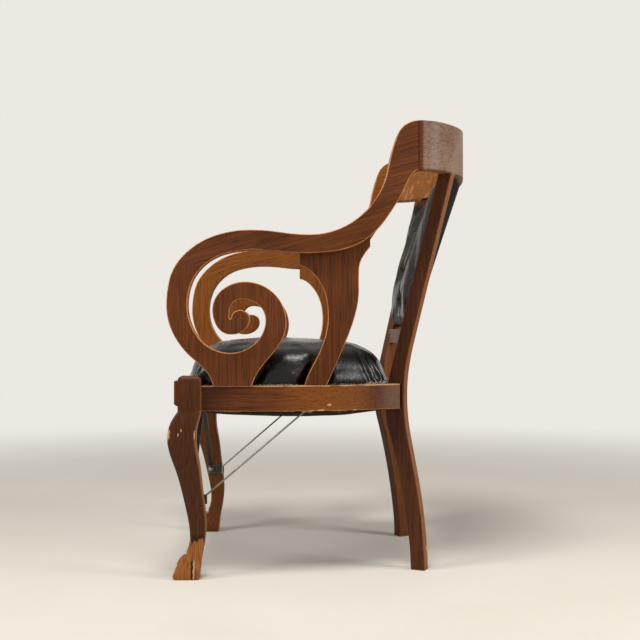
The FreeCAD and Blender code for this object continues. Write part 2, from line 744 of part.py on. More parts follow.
clip = cut("clip", clip_plate, [front_leg, clip_bolt])
pair(cut("front_leg_fitted", front_leg, [side_rail, front_tenon, clip_bolt] + toe_grooves()), "front_leg")
pair(tablet_body(), "leg_tablet")
pair(cut("rear_leg_fitted", rear_leg, [back_tenon, cross_tenon] + rail_dowels), "rear_leg")
node(cut("front_rail_fitted", fuse("front_rail_whole", [front_bar, front_tenon]),
         [strap_screw, strap_screw_twin]), "front_rail")
pair(cut("side_rail_fitted", side_rail,
         [rear_leg, rod_screw] + scroll_dowels + foot_dowels + rail_dowels), "side_rail")
rear_legs = [rear_leg, rear_leg_twin]
node(fuse("back_rail_whole", [cut("back_rail_body", back_bar, rear_legs), back_tenon]), "back_rail")
node(fuse("cross_rail_whole", [cut("cross_rail_body", cross_bar, rear_legs), cross_tenon]), "back_cross_rail")
crest_pins = crest_dowels + [mirrored(piece, piece.Name + "_hole_twin") for piece in crest_dowels]
node(cut("crest_fitted", crest, rear_legs + crest_pins), "crest_rail")
pair(cut("scroll_fitted", scroll, scroll_dowels), "arm_scroll")
pair(cut("arm_rail_fitted", arm_rail, crest_dowels + head_dowels), "arm_rail")
pair(cut("support_fitted", support, [arm_rail] + foot_dowels + head_dowels), "arm_support")
both_sides([cut("corner_block", corner_block_body(), [side_rail])], "corner_blocks")
both_sides(scroll_dowels, "arm_dowels")
both_sides(foot_dowels + head_dowels, "support_dowels")
both_sides(crest_dowels, "crest_dowels")
both_sides(rail_dowels, "rail_dowels")
pair(clip, "leg_clip")
both_sides([clip_bolt], "clip_bolts")
pair(cut("brace_rod_fitted", fuse("brace_rod_whole", [rod, rod_tab]), [rod_screw]), "brace_rod")
pair(cut("brace_strap_fitted", strap, [clip_bolt, strap_screw]), "brace_strap")
both_sides([rod_screw], "rod_screws")
both_sides([strap_screw], "strap_screws")

# Seat: webbing, springs, hessian, stuffing and the leather cover

def drawn_in(half, radius, inset, lead=0.0):
    """An outline given by its left half, drawn in towards its middle and led forward as it is."""
    wide = max(x for x, _ in half)
    front, rear = min(y for _, y in half), max(y for _, y in half)
    middle, long = (front + rear) / 2, (rear - front) / 2
    scale_x, scale_y = 1 - inset / wide, 1 - inset / long
    left = [(x * scale_x, middle + (y - middle) * scale_y - lead * inset) for x, y in half]
    outline = left + [(-x, y) for x, y in reversed(left)]
    return rounded(outline, [radius * min(scale_x, scale_y)] * len(outline))


# The rim of the cover lies a little inside the faces of the rails; its crown is a quarter of an ellipse
RIM_INSET = 9
SEAT_HALF = ((S.side_rail_front_x - RIM_INSET, S.front_rail_y - RIM_INSET),
             (S.side_rail_middle_x - RIM_INSET, S.side_rail_middle_y),
             (S.side_rail_end_x - RIM_INSET, S.side_rail_end_y - S.rail_thick - RIM_INSET),
             (S.rear_leg_x - S.rear_leg_thick - RIM_INSET, S.rear_leg_y - S.rail_thick - RIM_INSET))
SEAT_STEPS = 10
SEAT_CORNER = 36
SEAT_LEAD = 0.25


def seat_form(name, inside):
    """The seat's crowned form, at a depth inside the leather's outer face, with a skirt below its rim."""
    base = RAIL_TOP + S.soft_gap
    sections = [(base - S.rail_thick / 2, drawn_in(SEAT_HALF, SEAT_CORNER, inside, SEAT_LEAD))]
    for i in range(SEAT_STEPS + 1):
        angle = math.pi / 2 * i / SEAT_STEPS
        height = base + math.sin(angle) * (S.seat_crown - inside - S.soft_gap)
        inset = inside + (1 - math.cos(angle)) * S.seat_draw
        sections.append((height, drawn_in(SEAT_HALF, SEAT_CORNER, inset, SEAT_LEAD)))
    return loft_body(name, sections, ruled=True)


def notches(name, wall):
    """Room beside the seat for the pieces that stand on the side rails, with a wall of leather round it."""
    support_inner_x = SUPPORT_OUTER_X - S.support_thick
    places = ((ARM_INNER_X, SCROLL_FOOT[0] - S.seat_notch, SCROLL_FOOT[1] + S.seat_notch),
              (support_inner_x, SUPPORT_FOOT[0] - S.edge_round, SUPPORT_FOOT[1] + S.seat_notch),
              (S.leg_center_x - S.leg_block_width / 2, S.leg_block_front, S.leg_block_rear))
    boxes = []
    for i, (x, front, rear) in enumerate(places):
        clear = wall + 2 * S.soft_gap
        box = doc.addObject("Part::Box", "%s_%d" % (name, i))
        box.Length = S.side_rail_front_x + clear - x
        box.Width = rear - front + 2 * clear
        box.Height = S.rail_height + S.seat_crown
        box.Placement.Base = vec(x - clear, front - clear, S.rail_bottom)
        boxes += [box, mirrored(box, box.Name + "_twin")]
    return boxes


def spring_coil():
    """One open coil of round wire, from the webbing up to the hessian."""
    half = S.spring_wire / 2
    turns = int(S.spring_turns)
    pitch = (RAIL_TOP + S.hessian_rise - S.rail_bottom - S.spring_wire) / turns
    stations = []
    for i in range(4 * turns + 1):
        angle = math.pi / 2 * i
        point = heading(90 * i) * S.spring_radius + UP * (half + pitch * i / 4)
        slope = pitch / (2 * math.pi * S.spring_radius)
        stations.append((point, vec(-math.sin(angle), math.cos(angle), slope).normalize()))
    wire = Part.Wire([edge.toShape() for edge in biarcs(stations)])
    points = wire.discretize(Number=48 * turns)
    gap = min(a.distanceToPoint(b) for i, a in enumerate(points) for b in points[i + 36:]) - S.spring_wire
    print("spring coil: least gap to itself %.2f mm" % gap)
    ring = Part.Wire([Part.makeCircle(half, stations[0][0], stations[0][1])])
    return wire.makePipeShell([ring], True, False)


STRAP_XS = (44, 124)
STRAP_YS = (-215, -90, 35)


def slab_below(name, height):
    """Everything under the seat up to a height above the bottom of the rails."""
    return block(name, ("2 * side_rail_front_x", "2 * side_rail_front_x", height),
                 ("-side_rail_front_x", "front_rail_y - rail_thick", "rail_bottom"))


outer_form = seat_form("seat_outer_form", 0)
inner_form = seat_form("seat_inner_form", S.cover_thick)
stuffing_form = seat_form("seat_stuffing_form", S.cover_thick + S.soft_gap)
below_rim = slab_below("below_rim", "rail_height + soft_gap")
below_stuffing = slab_below("below_stuffing", "rail_height + hessian_rise + hessian_thick")
cavity = cut("seat_cavity", inner_form, notches("cavity_notch", S.cover_thick))
node(cut("seat_cover_fitted", outer_form, [cavity, below_rim] + notches("cover_notch", 0)), "seat_cover")
node(cut("seat_stuffing_fitted", stuffing_form, [below_stuffing]), "seat_stuffing")

hessian = body_of("hessian_sheet", z="rail_bottom + rail_height + hessian_rise")
hessian_outline = drawn_in(SEAT_HALF, SEAT_CORNER, S.hessian_inset, SEAT_LEAD)
pad_in(hessian, "hessian_pad", "XY_Plane", hessian_outline, "hessian_thick")
node(hessian, "seat_hessian")

coil = spring_coil()
springs = []
for x in STRAP_XS:
    for y in STRAP_YS:
        spring = doc.addObject("Part::Feature", "spring_%d" % len(springs))
        spring.Shape = coil
        spring.Placement.Base = vec(x, y, S.rail_bottom)
        springs.append(spring)
both_sides(springs, "seat_springs")

straps = []
for i, x in enumerate(STRAP_XS):
    length = "%r - front_rail_y" % back_rail_middle.y
    straps.append(block("long_strap_%d" % i, ("web_width", length, "web_thick"),
                        ("%r - web_width / 2" % x, "front_rail_y", "rail_bottom - web_thick")))
side_straps = []
for i, y in enumerate(STRAP_YS):
    reach = rail_face_x(y + S.web_width / 2, S.rail_thick / 2)
    side_straps.append(block("side_strap_%d" % i, (str(2 * reach), "web_width", "web_thick"),
                             (str(-reach), "%r - web_width / 2" % y, "rail_bottom - 2 * web_thick")))
straps += [mirrored(piece, piece.Name + "_twin") for piece in straps]
node(group("seat_webbing", straps + side_straps), "seat_webbing")

# Cloth under the seat: a thin sheet that sags

CLOTH_TOP = S.rail_bottom - 2 * S.web_thick - S.soft_gap
CLOTH_HALF = ((S.leg_center_x - S.leg_block_width / 2 - RIM_INSET, S.front_rail_y + S.strap_width - 1),
              (S.side_rail_middle_x - S.rail_thick + 4, S.side_rail_middle_y - 4),
              (S.side_rail_end_x - RIM_INSET, S.side_rail_end_y - S.rail_thick - 2 * RIM_INSET),
              (S.rear_leg_x - S.rear_leg_thick - RIM_INSET, back_rail_middle.y - S.tenon_thick))
CLOTH_STEPS = 6


def cloth_form(name, lift):
    sections = []
    for i in range(CLOTH_STEPS + 1):
        share = i / CLOTH_STEPS
        drop = S.dust_cover_sag * (1 - (1 - share) ** 2)
        sections.append((CLOTH_TOP + lift - drop, drawn_in(CLOTH_HALF, SEAT_CORNER, share * S.seat_draw)))
    return loft_body(name, sections, ruled=True)


cloth_room = cloth_form("cloth_over", S.dust_cover_thick)
node(cut("cloth_fitted", cloth_form("cloth_under", 0), [cloth_room]), "dust_cover")

# Back: a tufted pad between the posts, its buttons and its lining

PAD_LOW = RAIL_TOP + S.cross_rail_rise + S.cross_rail_height + S.pad_low
PAD_HIGH = CREST_BOTTOM - S.pad_top_gap
# Each row: share of the pad's height, share of its swell
PAD_SECTIONS = ((0, 0.15), (0.07, 0.7), (0.2, 1), (0.4, 1.1),
                (0.6, 1.02), (0.8, 0.98), (0.94, 0.85), (1, 0.45))
PAD_SIDE = -S.rear_leg_thick / 2 - 2 * S.soft_gap


def post_front(z):
    """How far along the rear leg's board its front edge lies, above the knee."""
    return POST_FRONT + (z - POST_KNEE) * S.back_rake


def pad_hollow(z):
    share = (z - PAD_LOW) / (PAD_HIGH - PAD_LOW)
    return S.pad_hollow_low + share * (S.pad_hollow_high - S.pad_hollow_low)


def bowed(left, depth):
    """An arc from a left point to its mirror image, hollowed to the rear by a depth."""
    return Part.Arc(left, vec(0, left.y + depth), vec(-left.x, left.y))


def swell_point(z, swell):
    return post_point(post_front(z) - swell * S.pad_swell, PAD_SIDE - S.pad_shoulder)


def pad_section(z, swell):
    """The pad's plan at a height: swollen in front of the posts, hollow between them."""
    edge = post_point(post_front(z) + S.edge_round, PAD_SIDE)
    back = post_point(post_front(z) + S.pad_thick, PAD_SIDE)
    crown = swell_point(z, swell)
    forward = vec(-math.sin(TURN), -math.cos(TURN))
    return [Part.LineSegment(back, edge), arc_from(edge, forward, crown), bowed(crown, pad_hollow(z)),
            arc_from(twin(edge), twin(forward), twin(crown)), Part.LineSegment(twin(edge), twin(back)),
            bowed(back, pad_hollow(z))]


def twin(point):
    """A point's mirror image on the right."""
    return vec(-point.x, point.y)


def lining_section(z):
    front = post_point(post_front(z) + S.pad_thick + S.soft_gap, PAD_SIDE)
    back = post_point(post_front(z) + S.pad_thick + S.soft_gap + S.lining_thick, PAD_SIDE)
    edges = chain([(front.x, front.y), (back.x, back.y)]) + chain([(-front.x, front.y), (-back.x, back.y)])
    return edges + [bowed(front, pad_hollow(z)), bowed(back, pad_hollow(z))]


def pad_heights():
    return [(PAD_LOW + share * (PAD_HIGH - PAD_LOW), swell) for share, swell in PAD_SECTIONS]


pad_form = loft_body("back_pad_form", [(z, pad_section(z, swell)) for z, swell in pad_heights()])
lining = loft_body("back_lining_form", [(z, lining_section(z)) for z, _ in pad_heights()])

# Tufts in staggered rows: each is a round dimple with a button at its bottom

TUFT_ROWS = ((0.2, (-0.5, 0.5)), (0.4, (-0.9, 0, 0.9)), (0.6, (-0.5, 0.5)), (0.8, (-0.9, 0, 0.9)))
TUFT_SPREAD = 0.75
BUTTON_CLEAR = 0.05
dimples = []
buttons = []
for share, places in TUFT_ROWS:
    z = PAD_LOW + share * (PAD_HIGH - PAD_LOW)
    crown = swell_point(z, 1)
    face = bowed(crown, pad_hollow(z)).toShape().Curve
    for place in places:
        x = place * TUFT_SPREAD * crown.x
        surface = face.Center.y + math.sqrt(face.Radius ** 2 - x ** 2)
        outward = vec(-x, face.Center.y - surface, -S.back_rake * face.Radius).normalize()
        floor = vec(x, surface, z) - outward * S.tuft_depth
        ball = doc.addObject("Part::Sphere", "dimple_%d" % len(dimples))
        ball.setExpression("Radius", on_sheet("tuft_radius"))
        ball.Placement.Base = floor + outward * S.tuft_radius
        dimples.append(ball)
        stand = S.tuft_radius - math.sqrt(S.tuft_radius ** 2 - S.button ** 2 / 4)
        seat = floor + outward * (stand + BUTTON_CLEAR)
        buttons.append(dome("button_%d" % len(buttons), "button", seat, outward))
node(cut("back_pad_tufted", pad_form, dimples), "back_pad")
node(group("back_buttons", buttons), "back_buttons")
node(lining, "back_lining")

doc.recompute()
faults = [item.Name for item in doc.Objects if set(item.State) & {"Invalid", "Error"}]
faults += [piece.Label for piece in nodes if piece.Shape.isNull() or not piece.Shape.isValid()]
if faults:
    raise SystemExit("not built: " + ", ".join(faults))
os.makedirs("parts", exist_ok=True)
for piece in nodes:
    piece.Shape.exportStep("parts/%s.step" % piece.Label)
    count, volume = len(piece.Shape.Solids), piece.Shape.Volume / 1000
    print("%-24s solids %2d  volume %8.1f cm3" % (piece.Label, count, volume))
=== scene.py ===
# %% [markdown]
# # A billiard chair in worn oak and black leather
# The wood, the iron and the springs come from a CAD model, and they stay as they are. This lesson dresses
# that frame: it gives every board a grown oak grain, and it makes the soft pieces that a CAD solid can
# only hint at. Everything is in metres. The chair faces -Y and the sitter's left is +X.

# %% Load the frame
import math

import bmesh
import bpy
import numpy as np
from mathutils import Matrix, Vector, noise
from mathutils.bvhtree import BVHTree


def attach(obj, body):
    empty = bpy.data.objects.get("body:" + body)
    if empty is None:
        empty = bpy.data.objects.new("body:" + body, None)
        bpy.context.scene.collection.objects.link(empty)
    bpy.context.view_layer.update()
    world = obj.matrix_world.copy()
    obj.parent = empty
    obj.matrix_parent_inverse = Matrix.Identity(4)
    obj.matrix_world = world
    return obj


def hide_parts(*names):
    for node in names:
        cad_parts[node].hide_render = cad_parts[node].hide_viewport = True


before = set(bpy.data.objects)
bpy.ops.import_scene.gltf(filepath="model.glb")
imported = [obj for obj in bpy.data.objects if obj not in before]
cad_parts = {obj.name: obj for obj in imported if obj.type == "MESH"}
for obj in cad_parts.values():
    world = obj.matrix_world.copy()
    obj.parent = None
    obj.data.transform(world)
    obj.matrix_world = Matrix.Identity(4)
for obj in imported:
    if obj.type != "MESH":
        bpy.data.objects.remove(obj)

scene = bpy.context.scene
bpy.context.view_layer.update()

# %% [markdown]
# ## The camera
# The picture was taken square to the chair's left side, with a long lens a little above the seat. The
# place of the eye was worked out from edges that run straight across the chair: they all point at one
# spot of the picture. A lens in millimetres follows from the same sum.

# %% Camera
PICTURE_WIDTH = 640
LENS_PIXELS = 1007
SENSOR_WIDTH = 36
EYE = Vector((2.637, -0.057, 0.568))
TURN_TO_REAR = math.radians(1.2)
TILT_UP = math.radians(0.78)

camera_data = bpy.data.cameras.new("photo_camera")
camera_data.sensor_width = SENSOR_WIDTH
camera_data.lens = SENSOR_WIDTH * LENS_PIXELS / PICTURE_WIDTH
camera = bpy.data.objects.new("photo_camera", camera_data)
camera.location = EYE
line_of_sight = Vector((-math.cos(TURN_TO_REAR), math.sin(TURN_TO_REAR), math.tan(TILT_UP)))
camera.rotation_euler = line_of_sight.to_track_quat("-Z", "Y").to_euler()
scene.collection.objects.link(camera)
scene.camera = camera
print("lens %.1f mm" % camera_data.lens)

# %% [markdown]
# ## Sums with sockets
# A material is a small program drawn as boxes and wires. Drawing it by hand is slow, so this class wraps
# one socket and lets plain signs add the Math boxes: `1 - mask` makes a Subtract node. Every other box
# comes from a single method, which takes its type, its settings and what goes into its sockets.

# %% A tree of nodes that reads like sums
class Value:
    """One output socket. A sum with it adds a Math node."""

    def __init__(self, tree, socket):
        self.tree = tree
        self.socket = socket

    def out(self, name):
        """Another output of the same node."""
        return Value(self.tree, self.socket.node.outputs[name])

    def math(self, operation, *terms):
        return self.tree.node("ShaderNodeMath", {"operation": operation}, dict(enumerate(terms)))

    def __add__(self, other):
        return self.math("ADD", self, other)

    def __radd__(self, other):
        return self.math("ADD", other, self)

    def __sub__(self, other):
        return self.math("SUBTRACT", self, other)

    def __rsub__(self, other):
        return self.math("SUBTRACT", other, self)

    def __mul__(self, other):
        return self.math("MULTIPLY", self, other)

    def __rmul__(self, other):
        return self.math("MULTIPLY", other, self)

    def __abs__(self):
        return self.math("ABSOLUTE", self)


class Tree:
    """A node tree in the making."""

    def __init__(self, tree):
        self.tree = tree

    def node(self, kind, settings=None, sockets=None, output=0):
        made = self.tree.nodes.new(kind)
        for name, setting in (settings or {}).items():
            if name == "stops":
                for stop, (place, colour) in zip(made.color_ramp.elements, setting):
                    stop.position = place
                    stop.color = colour
            else:
                setattr(made, name, setting)
        for name, given in (sockets or {}).items():
            if isinstance(given, Value):
                self.tree.links.new(given.socket, made.inputs[name])
            else:
                made.inputs[name].default_value = given
        return Value(self, made.outputs[output]) if len(made.outputs) else None

    def vector(self, operation, *terms, output=0):
        """A sum with places instead of numbers."""
        return self.node("ShaderNodeVectorMath", {"operation": operation}, dict(enumerate(terms)), output)


def tone(red, green, blue):
    """A colour in screen values from 0 to 255, as the linear light that shaders use."""
    linear = []
    for value in (red, green, blue):
        share = value / 255
        linear.append(share / 12.92 if share <= 0.04045 else ((share + 0.055) / 1.055) ** 2.4)
    return (*linear, 1.0)


print("mid grey is", [round(x, 3) for x in tone(128, 128, 128)])

# %% [markdown]
# ## Helpers that every finish shares
# Real surfaces are mottled at several scales at once. `mottle` is noise with its own count of blotches a
# metre, one for all or one for each axis, so the same helper gives long wood grain and round stains. `step`
# turns it into a mask, `tint` lays one colour over another and `layers` lays several. `edge_wear` finds
# edges by asking how far a rounded normal would turn away from the plain one.

# %% Finish helpers
def new_finish(name):
    material = bpy.data.materials.new(name)
    material.use_nodes = True
    material.node_tree.nodes.clear()
    tree = Tree(material.node_tree)
    return material, tree, tree.node("ShaderNodeTexCoord", output="Object")


def mottle(place, stretch, detail=2.0):
    scaled = place.tree.vector("MULTIPLY", place, tuple(np.full(3, stretch, float)))
    return place.tree.node("ShaderNodeTexNoise", None, {"Vector": scaled, "Scale": 1.0, "Detail": detail})


def step(value, low, high):
    return value.tree.node("ShaderNodeMapRange", {"interpolation_type": "SMOOTHSTEP"},
                           {"Value": value, "From Min": low, "From Max": high})


def tint(tree, under, over, mask):
    return tree.node("ShaderNodeMix", {"data_type": "RGBA"}, {0: mask, 6: under, 7: over}, output=2)


def layers(tree, colour, coats):
    """Lays coats over a colour in their order. Each coat is a colour and its mask."""
    for over, mask in coats:
        colour = tint(tree, colour, over, mask)
    return colour


def split(place):
    """The three numbers of a place."""
    first = place.tree.node("ShaderNodeSeparateXYZ", None, {0: place})
    return first, first.out("Y"), first.out("Z")


def turned(place, turn):
    turning = {"Vector": place, "Rotation": turn}
    return place.tree.node("ShaderNodeMapping", {"vector_type": "POINT"}, turning)


def plain_normal(tree):
    return tree.node("ShaderNodeNewGeometry", output="Normal")


def edge_wear(tree, radius):
    rounded = tree.node("ShaderNodeBevel", {"samples": 6}, {"Radius": radius})
    return 1 - tree.vector("DOT_PRODUCT", rounded, plain_normal(tree), output="Value")


def hollow_shade_and_grime(tree, reach):
    """From 0 in the open to 1 deep in a corner, where dirt gathers and painted shade falls."""
    return 1 - tree.node("ShaderNodeAmbientOcclusion", {"samples": 6}, {"Distance": reach}, output="AO")


def spot_mask(place, centre, squeeze, radius, ragged):
    """1 inside a ragged ball, which makes a chip. A squeeze below 1 makes it longer along that axis."""
    vector = place.tree.vector
    off = vector("MULTIPLY", vector("SUBTRACT", place, centre), squeeze)
    far = vector("LENGTH", off, output="Value")
    return 1 - step(far + ragged * radius, 0.75 * radius, 1.15 * radius)


def coat_with(tree, height, sockets):
    """The shader at the end of a finish. The height is in metres."""
    bump = {"Strength": 1.0, "Distance": 1.0, "Height": height}
    sockets["Normal"] = tree.node("ShaderNodeBump", None, bump)
    shader = tree.node("ShaderNodeBsdfPrincipled", None, sockets)
    tree.node("ShaderNodeOutputMaterial", None, {"Surface": shader})


print("finish helpers ready")

# %% [markdown]
# ## Oak
# Oak shows long pores, growth rings a few millimetres apart and, on boards sawn towards the heart, pale
# flecks that cross the grain. Old varnish is thin on the edges, so they go pale, and a painted highlight
# brightens them further. The corners are darkened by dirt and painted shade, rims and rear faces get
# painted amber light, and inner faces are a lighter amber.
# A picture of wood would smear on curved boards. Here the grain is a solid block of noise, stretched along
# one axis and turned to lie along each board, as if the board had been sawn from it.

# %% Oak finish
OAK_DARK = tone(47, 22, 8)
OAK_MID = tone(92, 46, 17)
OAK_LIGHT = tone(128, 70, 30)
OAK_PORE = tone(28, 11, 4)
# Amber for the lighter inner faces, and painted light on rims, rear faces and the middle of the side rails.
OAK_AMBER_AND_LIT = tone(184, 110, 40)
OAK_FLECK = tone(206, 128, 58)
OAK_WORN_AND_LIT = tone(208, 140, 74)
OAK_PALE = tone(212, 194, 168)
OAK_RAW = tone(152, 93, 44)
OAK_SPLIT = tone(116, 65, 27)
OAK_HAZE_AND_SHEEN = tone(146, 123, 105)
# A near black brown for dirt and for painted shade in corners and cracks.
OAK_SHADE_AND_GRIME = tone(18, 9, 5)
# Each grain: its blotches a metre, twice across the board and then along it
GRAIN_BANDS = (80, 60, 2.0)
GRAIN_LINES = (360, 290, 5.0)
GRAIN_PORES = (640, 640, 20)
GRAIN_FIBRES = (300, 300, 12)
WORN_EDGE = 0.004
SHADE_AND_GRIME_REACH = 0.022
CREST_MIDDLE_Y = 0.223
CREST_HALF_WIDTH = 0.2875
CREST_HALF_DEPTH = 0.125
CREST_RING_DEPTH, CREST_TURN_LENGTH = 0.2, 0.25
SEAM_LINE = 0.0012
FOOT_TEAR = 0.086
FOOT_CRACK_Y = -0.3035
FOOT_CRACK_TOP = 0.048
RAIL_TOP = 0.447
RAIL_FRONT, RAIL_REAR = -0.285, 0.170


def oak_grain(spot, turn, around):
    """A place in the board, with its third number along the grain. A curved board also has a ring number."""
    if not around:
        return turned(spot, turn), None
    x, y, z = split(spot)
    across = x * (1 / CREST_HALF_WIDTH)
    back = (y - CREST_MIDDLE_Y) * (1 / CREST_HALF_DEPTH)
    angle = across.math("ARCTAN2", back, across)
    ring = across.math("SQRT", across * across + back * back)
    place = {"X": ring * CREST_RING_DEPTH, "Y": z, "Z": angle * CREST_TURN_LENGTH}
    return spot.tree.node("ShaderNodeCombineXYZ", None, place), ring


def torn_foot(spot, facing, ragged):
    """The left foot's outer side has split off: raw wood, a dark rim, a crack darkened by painted shade and a
    painted highlight along the crack's edge.
    """
    x, y, z = split(spot)
    side = step(facing, 0.3, 0.6) * step(x, 0.0, 0.01)
    level = z + (mottle(spot, (115, 115, 9), 4) - 0.5) * 0.1
    raw = (1 - step(level, FOOT_TEAR - 0.003, FOOT_TEAR)) * side
    rim = (1 - step(level, FOOT_TEAR + 0.004, FOOT_TEAR + 0.016)) * side
    off = y - FOOT_CRACK_Y + ragged * 0.006
    low = raw * (1 - step(z, FOOT_CRACK_TOP - 0.01, FOOT_CRACK_TOP))
    # The crack is darkened by painted shade, and the pale line beside it is a painted highlight.
    crack = 1 - step(abs(off), 0.0014, 0.0030)
    lip_highlight = 1 - step(abs(off - 0.0045), 0.0010, 0.0022)
    return raw, rim * (1 - raw), crack * low, lip_highlight * low


def crest_coats(spot, grain, ring):
    """The crest is hazy outside, partly from worn varnish and partly from a painted reflection, amber and
    flecked inside, and clean beside its seams.
    """
    outer = step(ring, 0.99, 1.03)
    flecks = step(mottle(turned(grain, (0.7, 0, 0)), (12, 24, 150), 1), 0.58, 0.66)
    smear = mottle(spot, (15, 15, 9), 2) * 0.55 + mottle(grain, (330, 330, 60), 4) * 0.55
    rear = step(split(spot)[1], CREST_MIDDLE_Y + 0.006, CREST_MIDDLE_Y + 0.014)
    # The grey outside is partly worn varnish and partly a painted reflection of the lamps.
    haze_and_sheen = outer * step(smear, 0.28, 0.74) * rear
    inner = 1 - outer
    return [(OAK_WORN_AND_LIT, inner * 0.25), (OAK_FLECK, flecks * inner * 0.6), (OAK_HAZE_AND_SHEEN, haze_and_sheen * 0.85)], haze_and_sheen


def rail_coats(y, broad):
    """A side rail is darker towards its front, has painted amber light in the middle and is scuffed grey at
    its rear.
    """
    front = 1 - step(y, RAIL_FRONT, RAIL_FRONT + 0.09)
    middle = step(y, -0.18, -0.02) * (1 - step(y, 0.07, 0.14))
    rear = step(y + broad * 0.05, RAIL_REAR - 0.04, RAIL_REAR + 0.03)
    return [(OAK_SHADE_AND_GRIME, front * 0.5), (OAK_AMBER_AND_LIT, middle * 0.25), (OAK_HAZE_AND_SHEEN, rear * 0.28)]


def oak(name, turn=(0, 0, 0), around=False, board=False, post=False, seam=False, deep=0.0, foot=False,
        rail=False, chips=(), squeeze=(1, 1, 1)):
    """Clean grain under coats of varnish, worn edges, dirt, chips and tears, and of painted light and shade.
    """
    material, wood, spot = new_finish(name)
    grain, ring = oak_grain(spot, turn, around)
    x, y, z = split(spot)
    facing, rearward, _ = split(plain_normal(wood))
    bands = mottle(grain, GRAIN_BANDS, 2)
    lines = mottle(grain, GRAIN_LINES, 4)
    fibres = mottle(grain, GRAIN_FIBRES, 4)
    pores = step(mottle(grain, GRAIN_PORES, 2), 0.54, 0.66)
    broad = mottle(spot, 7, 2)
    ragged = mottle(spot, 130, 3) - 0.5

    coats = [(OAK_MID, 0.3), (OAK_DARK, deep)]
    if not around:
        inner = 1 - step(facing * x, -0.12, -0.06)
        coats.append((OAK_AMBER_AND_LIT, inner * (0.32 if board else 0.14)))
    if board:
        square = facing * facing
        # A board's narrow rims, which face neither side, get painted light in amber.
        coats.append((OAK_AMBER_AND_LIT, (1 - step(square, 0.2, 0.9)) * 0.5))
        worn_and_lit_edge = square * (1 - square) * 4.5
    else:
        worn_and_lit_edge = edge_wear(wood, WORN_EDGE) * 8
    if post:
        # The rear faces of the posts and front legs get painted light in amber.
        coats.append((OAK_AMBER_AND_LIT, step(rearward, 0.5, 0.9) * 0.36))
    if rail:
        coats += rail_coats(y, broad)
    if around:
        worn_and_lit_edge = worn_and_lit_edge * step(y, CREST_MIDDLE_Y + 0.006, CREST_MIDDLE_Y + 0.02)
    # The pale edges are worn, and brightened further into a painted highlight where lamps would catch them.
    worn_and_lit_edge = step(worn_and_lit_edge * (broad + ragged * 0.9), 0.12, 0.6)
    coats += [(OAK_PORE, pores * 0.6), (OAK_WORN_AND_LIT, worn_and_lit_edge * 0.75)]
    rough = 0.36 + broad * 0.14 + worn_and_lit_edge * 0.15
    if around:
        hazy, haze_and_sheen = crest_coats(spot, grain, ring)
        coats += hazy
        rough = rough + haze_and_sheen * 0.1
    # Ambient occlusion darkens the corners as painted shade together with dirt, and a seam adds its dark glue
    # line.
    shade_and_grime = step(hollow_shade_and_grime(wood, SHADE_AND_GRIME_REACH), 0.3, 0.95)
    if seam:
        glue_line = 1 - step(abs(y - CREST_MIDDLE_Y), SEAM_LINE, 2.5 * SEAM_LINE)
        shade_and_grime = shade_and_grime.math("MAXIMUM", shade_and_grime, glue_line)
    coats.append((OAK_SHADE_AND_GRIME, shade_and_grime * 0.6))

    height = lines * 0.0001 - pores * 0.00018
    bare = worn_and_lit_edge * 0.6
    if chips:
        raw = 0.0
        if rail:
            thin = step(z + ragged * 0.0012, RAIL_TOP - 0.0026, RAIL_TOP - 0.0016)
            raw = thin * step(mottle(spot, 30, 3), 0.34, 0.46) * 0.8
        for centre, radius in chips:
            raw = raw + spot_mask(spot, centre, squeeze, radius, ragged * 2.2)
        coats.append((tint(wood, OAK_WORN_AND_LIT, OAK_PALE, fibres), raw.math("MINIMUM", raw, 1.0) * 0.8))
        bare = bare + raw
    if foot:
        raw, rim, crack, lip_highlight = torn_foot(spot, facing, ragged)
        torn = tint(wood, OAK_RAW, OAK_SPLIT, step(fibres, 0.42, 0.68))
        coats += [(OAK_SHADE_AND_GRIME, rim * 0.85), (torn, raw), (OAK_PALE, lip_highlight * 0.5), (OAK_SHADE_AND_GRIME, crack * 0.95)]
        height = height + (fibres * 0.0007 - 0.0004) * raw - crack * 0.0015
        bare = bare + raw
    clean = wood.node("ShaderNodeValToRGB", {"stops": ((0.35, OAK_DARK), (0.74, OAK_LIGHT))},
                      {0: bands * 0.16 + lines * 0.52 + broad * 0.34})
    coat_with(wood, height, {
        "Base Color": layers(wood, clean, coats), "Roughness": rough + step(bare, 0.3, 1.0) * 0.2,
        "Coat Weight": (1 - step(bare, 0.0, 0.8)) * 0.06, "Coat Roughness": 0.22,
        "Specular IOR Level": 0.14})
    return material


# Each chip: its middle and its radius
KNEE_CHIPS = (((0.308, -0.3585, 0.336), 0.0050), ((0.311, -0.328, 0.344), 0.0014),
              ((0.311, -0.335, 0.334), 0.0014), ((0.310, -0.297, 0.334), 0.0026),
              ((-0.3, -0.352, 0.322), 0.005))
RAIL_CHIPS = (((0.285, 0.015, 0.402), 0.0030), ((0.288, -0.005, 0.389), 0.0040),
              ((0.290, -0.026, 0.388), 0.0034), ((0.278, 0.035, 0.388), 0.003),
              ((0.266, 0.074, 0.388), 0.003), ((-0.286, -0.03, 0.39), 0.0042))
HEEL_CHIPS = (((0.204, 0.251, 0.052), 0.0026), ((-0.226, 0.245, 0.012), 0.003))
LONG_UP, LONG_BACK = (1, 1, 0.35), (1, 0.6, 1.3)
QUARTER = math.pi / 2
oak_upright = oak("oak_upright", board=True)
oak_post = oak("oak_post", post=True, deep=0.3, chips=HEEL_CHIPS, squeeze=LONG_UP)
oak_arm = oak("oak_arm", turn=(math.radians(74), 0, 0), board=True, seam=True)
oak_side = oak("oak_side_rail", turn=(QUARTER, 0, 0), rail=True, chips=RAIL_CHIPS, squeeze=LONG_BACK)
oak_cross = oak("oak_cross_rail", turn=(0, -QUARTER, 0), deep=0.3)
oak_crest = oak("oak_crest", around=True, seam=True)
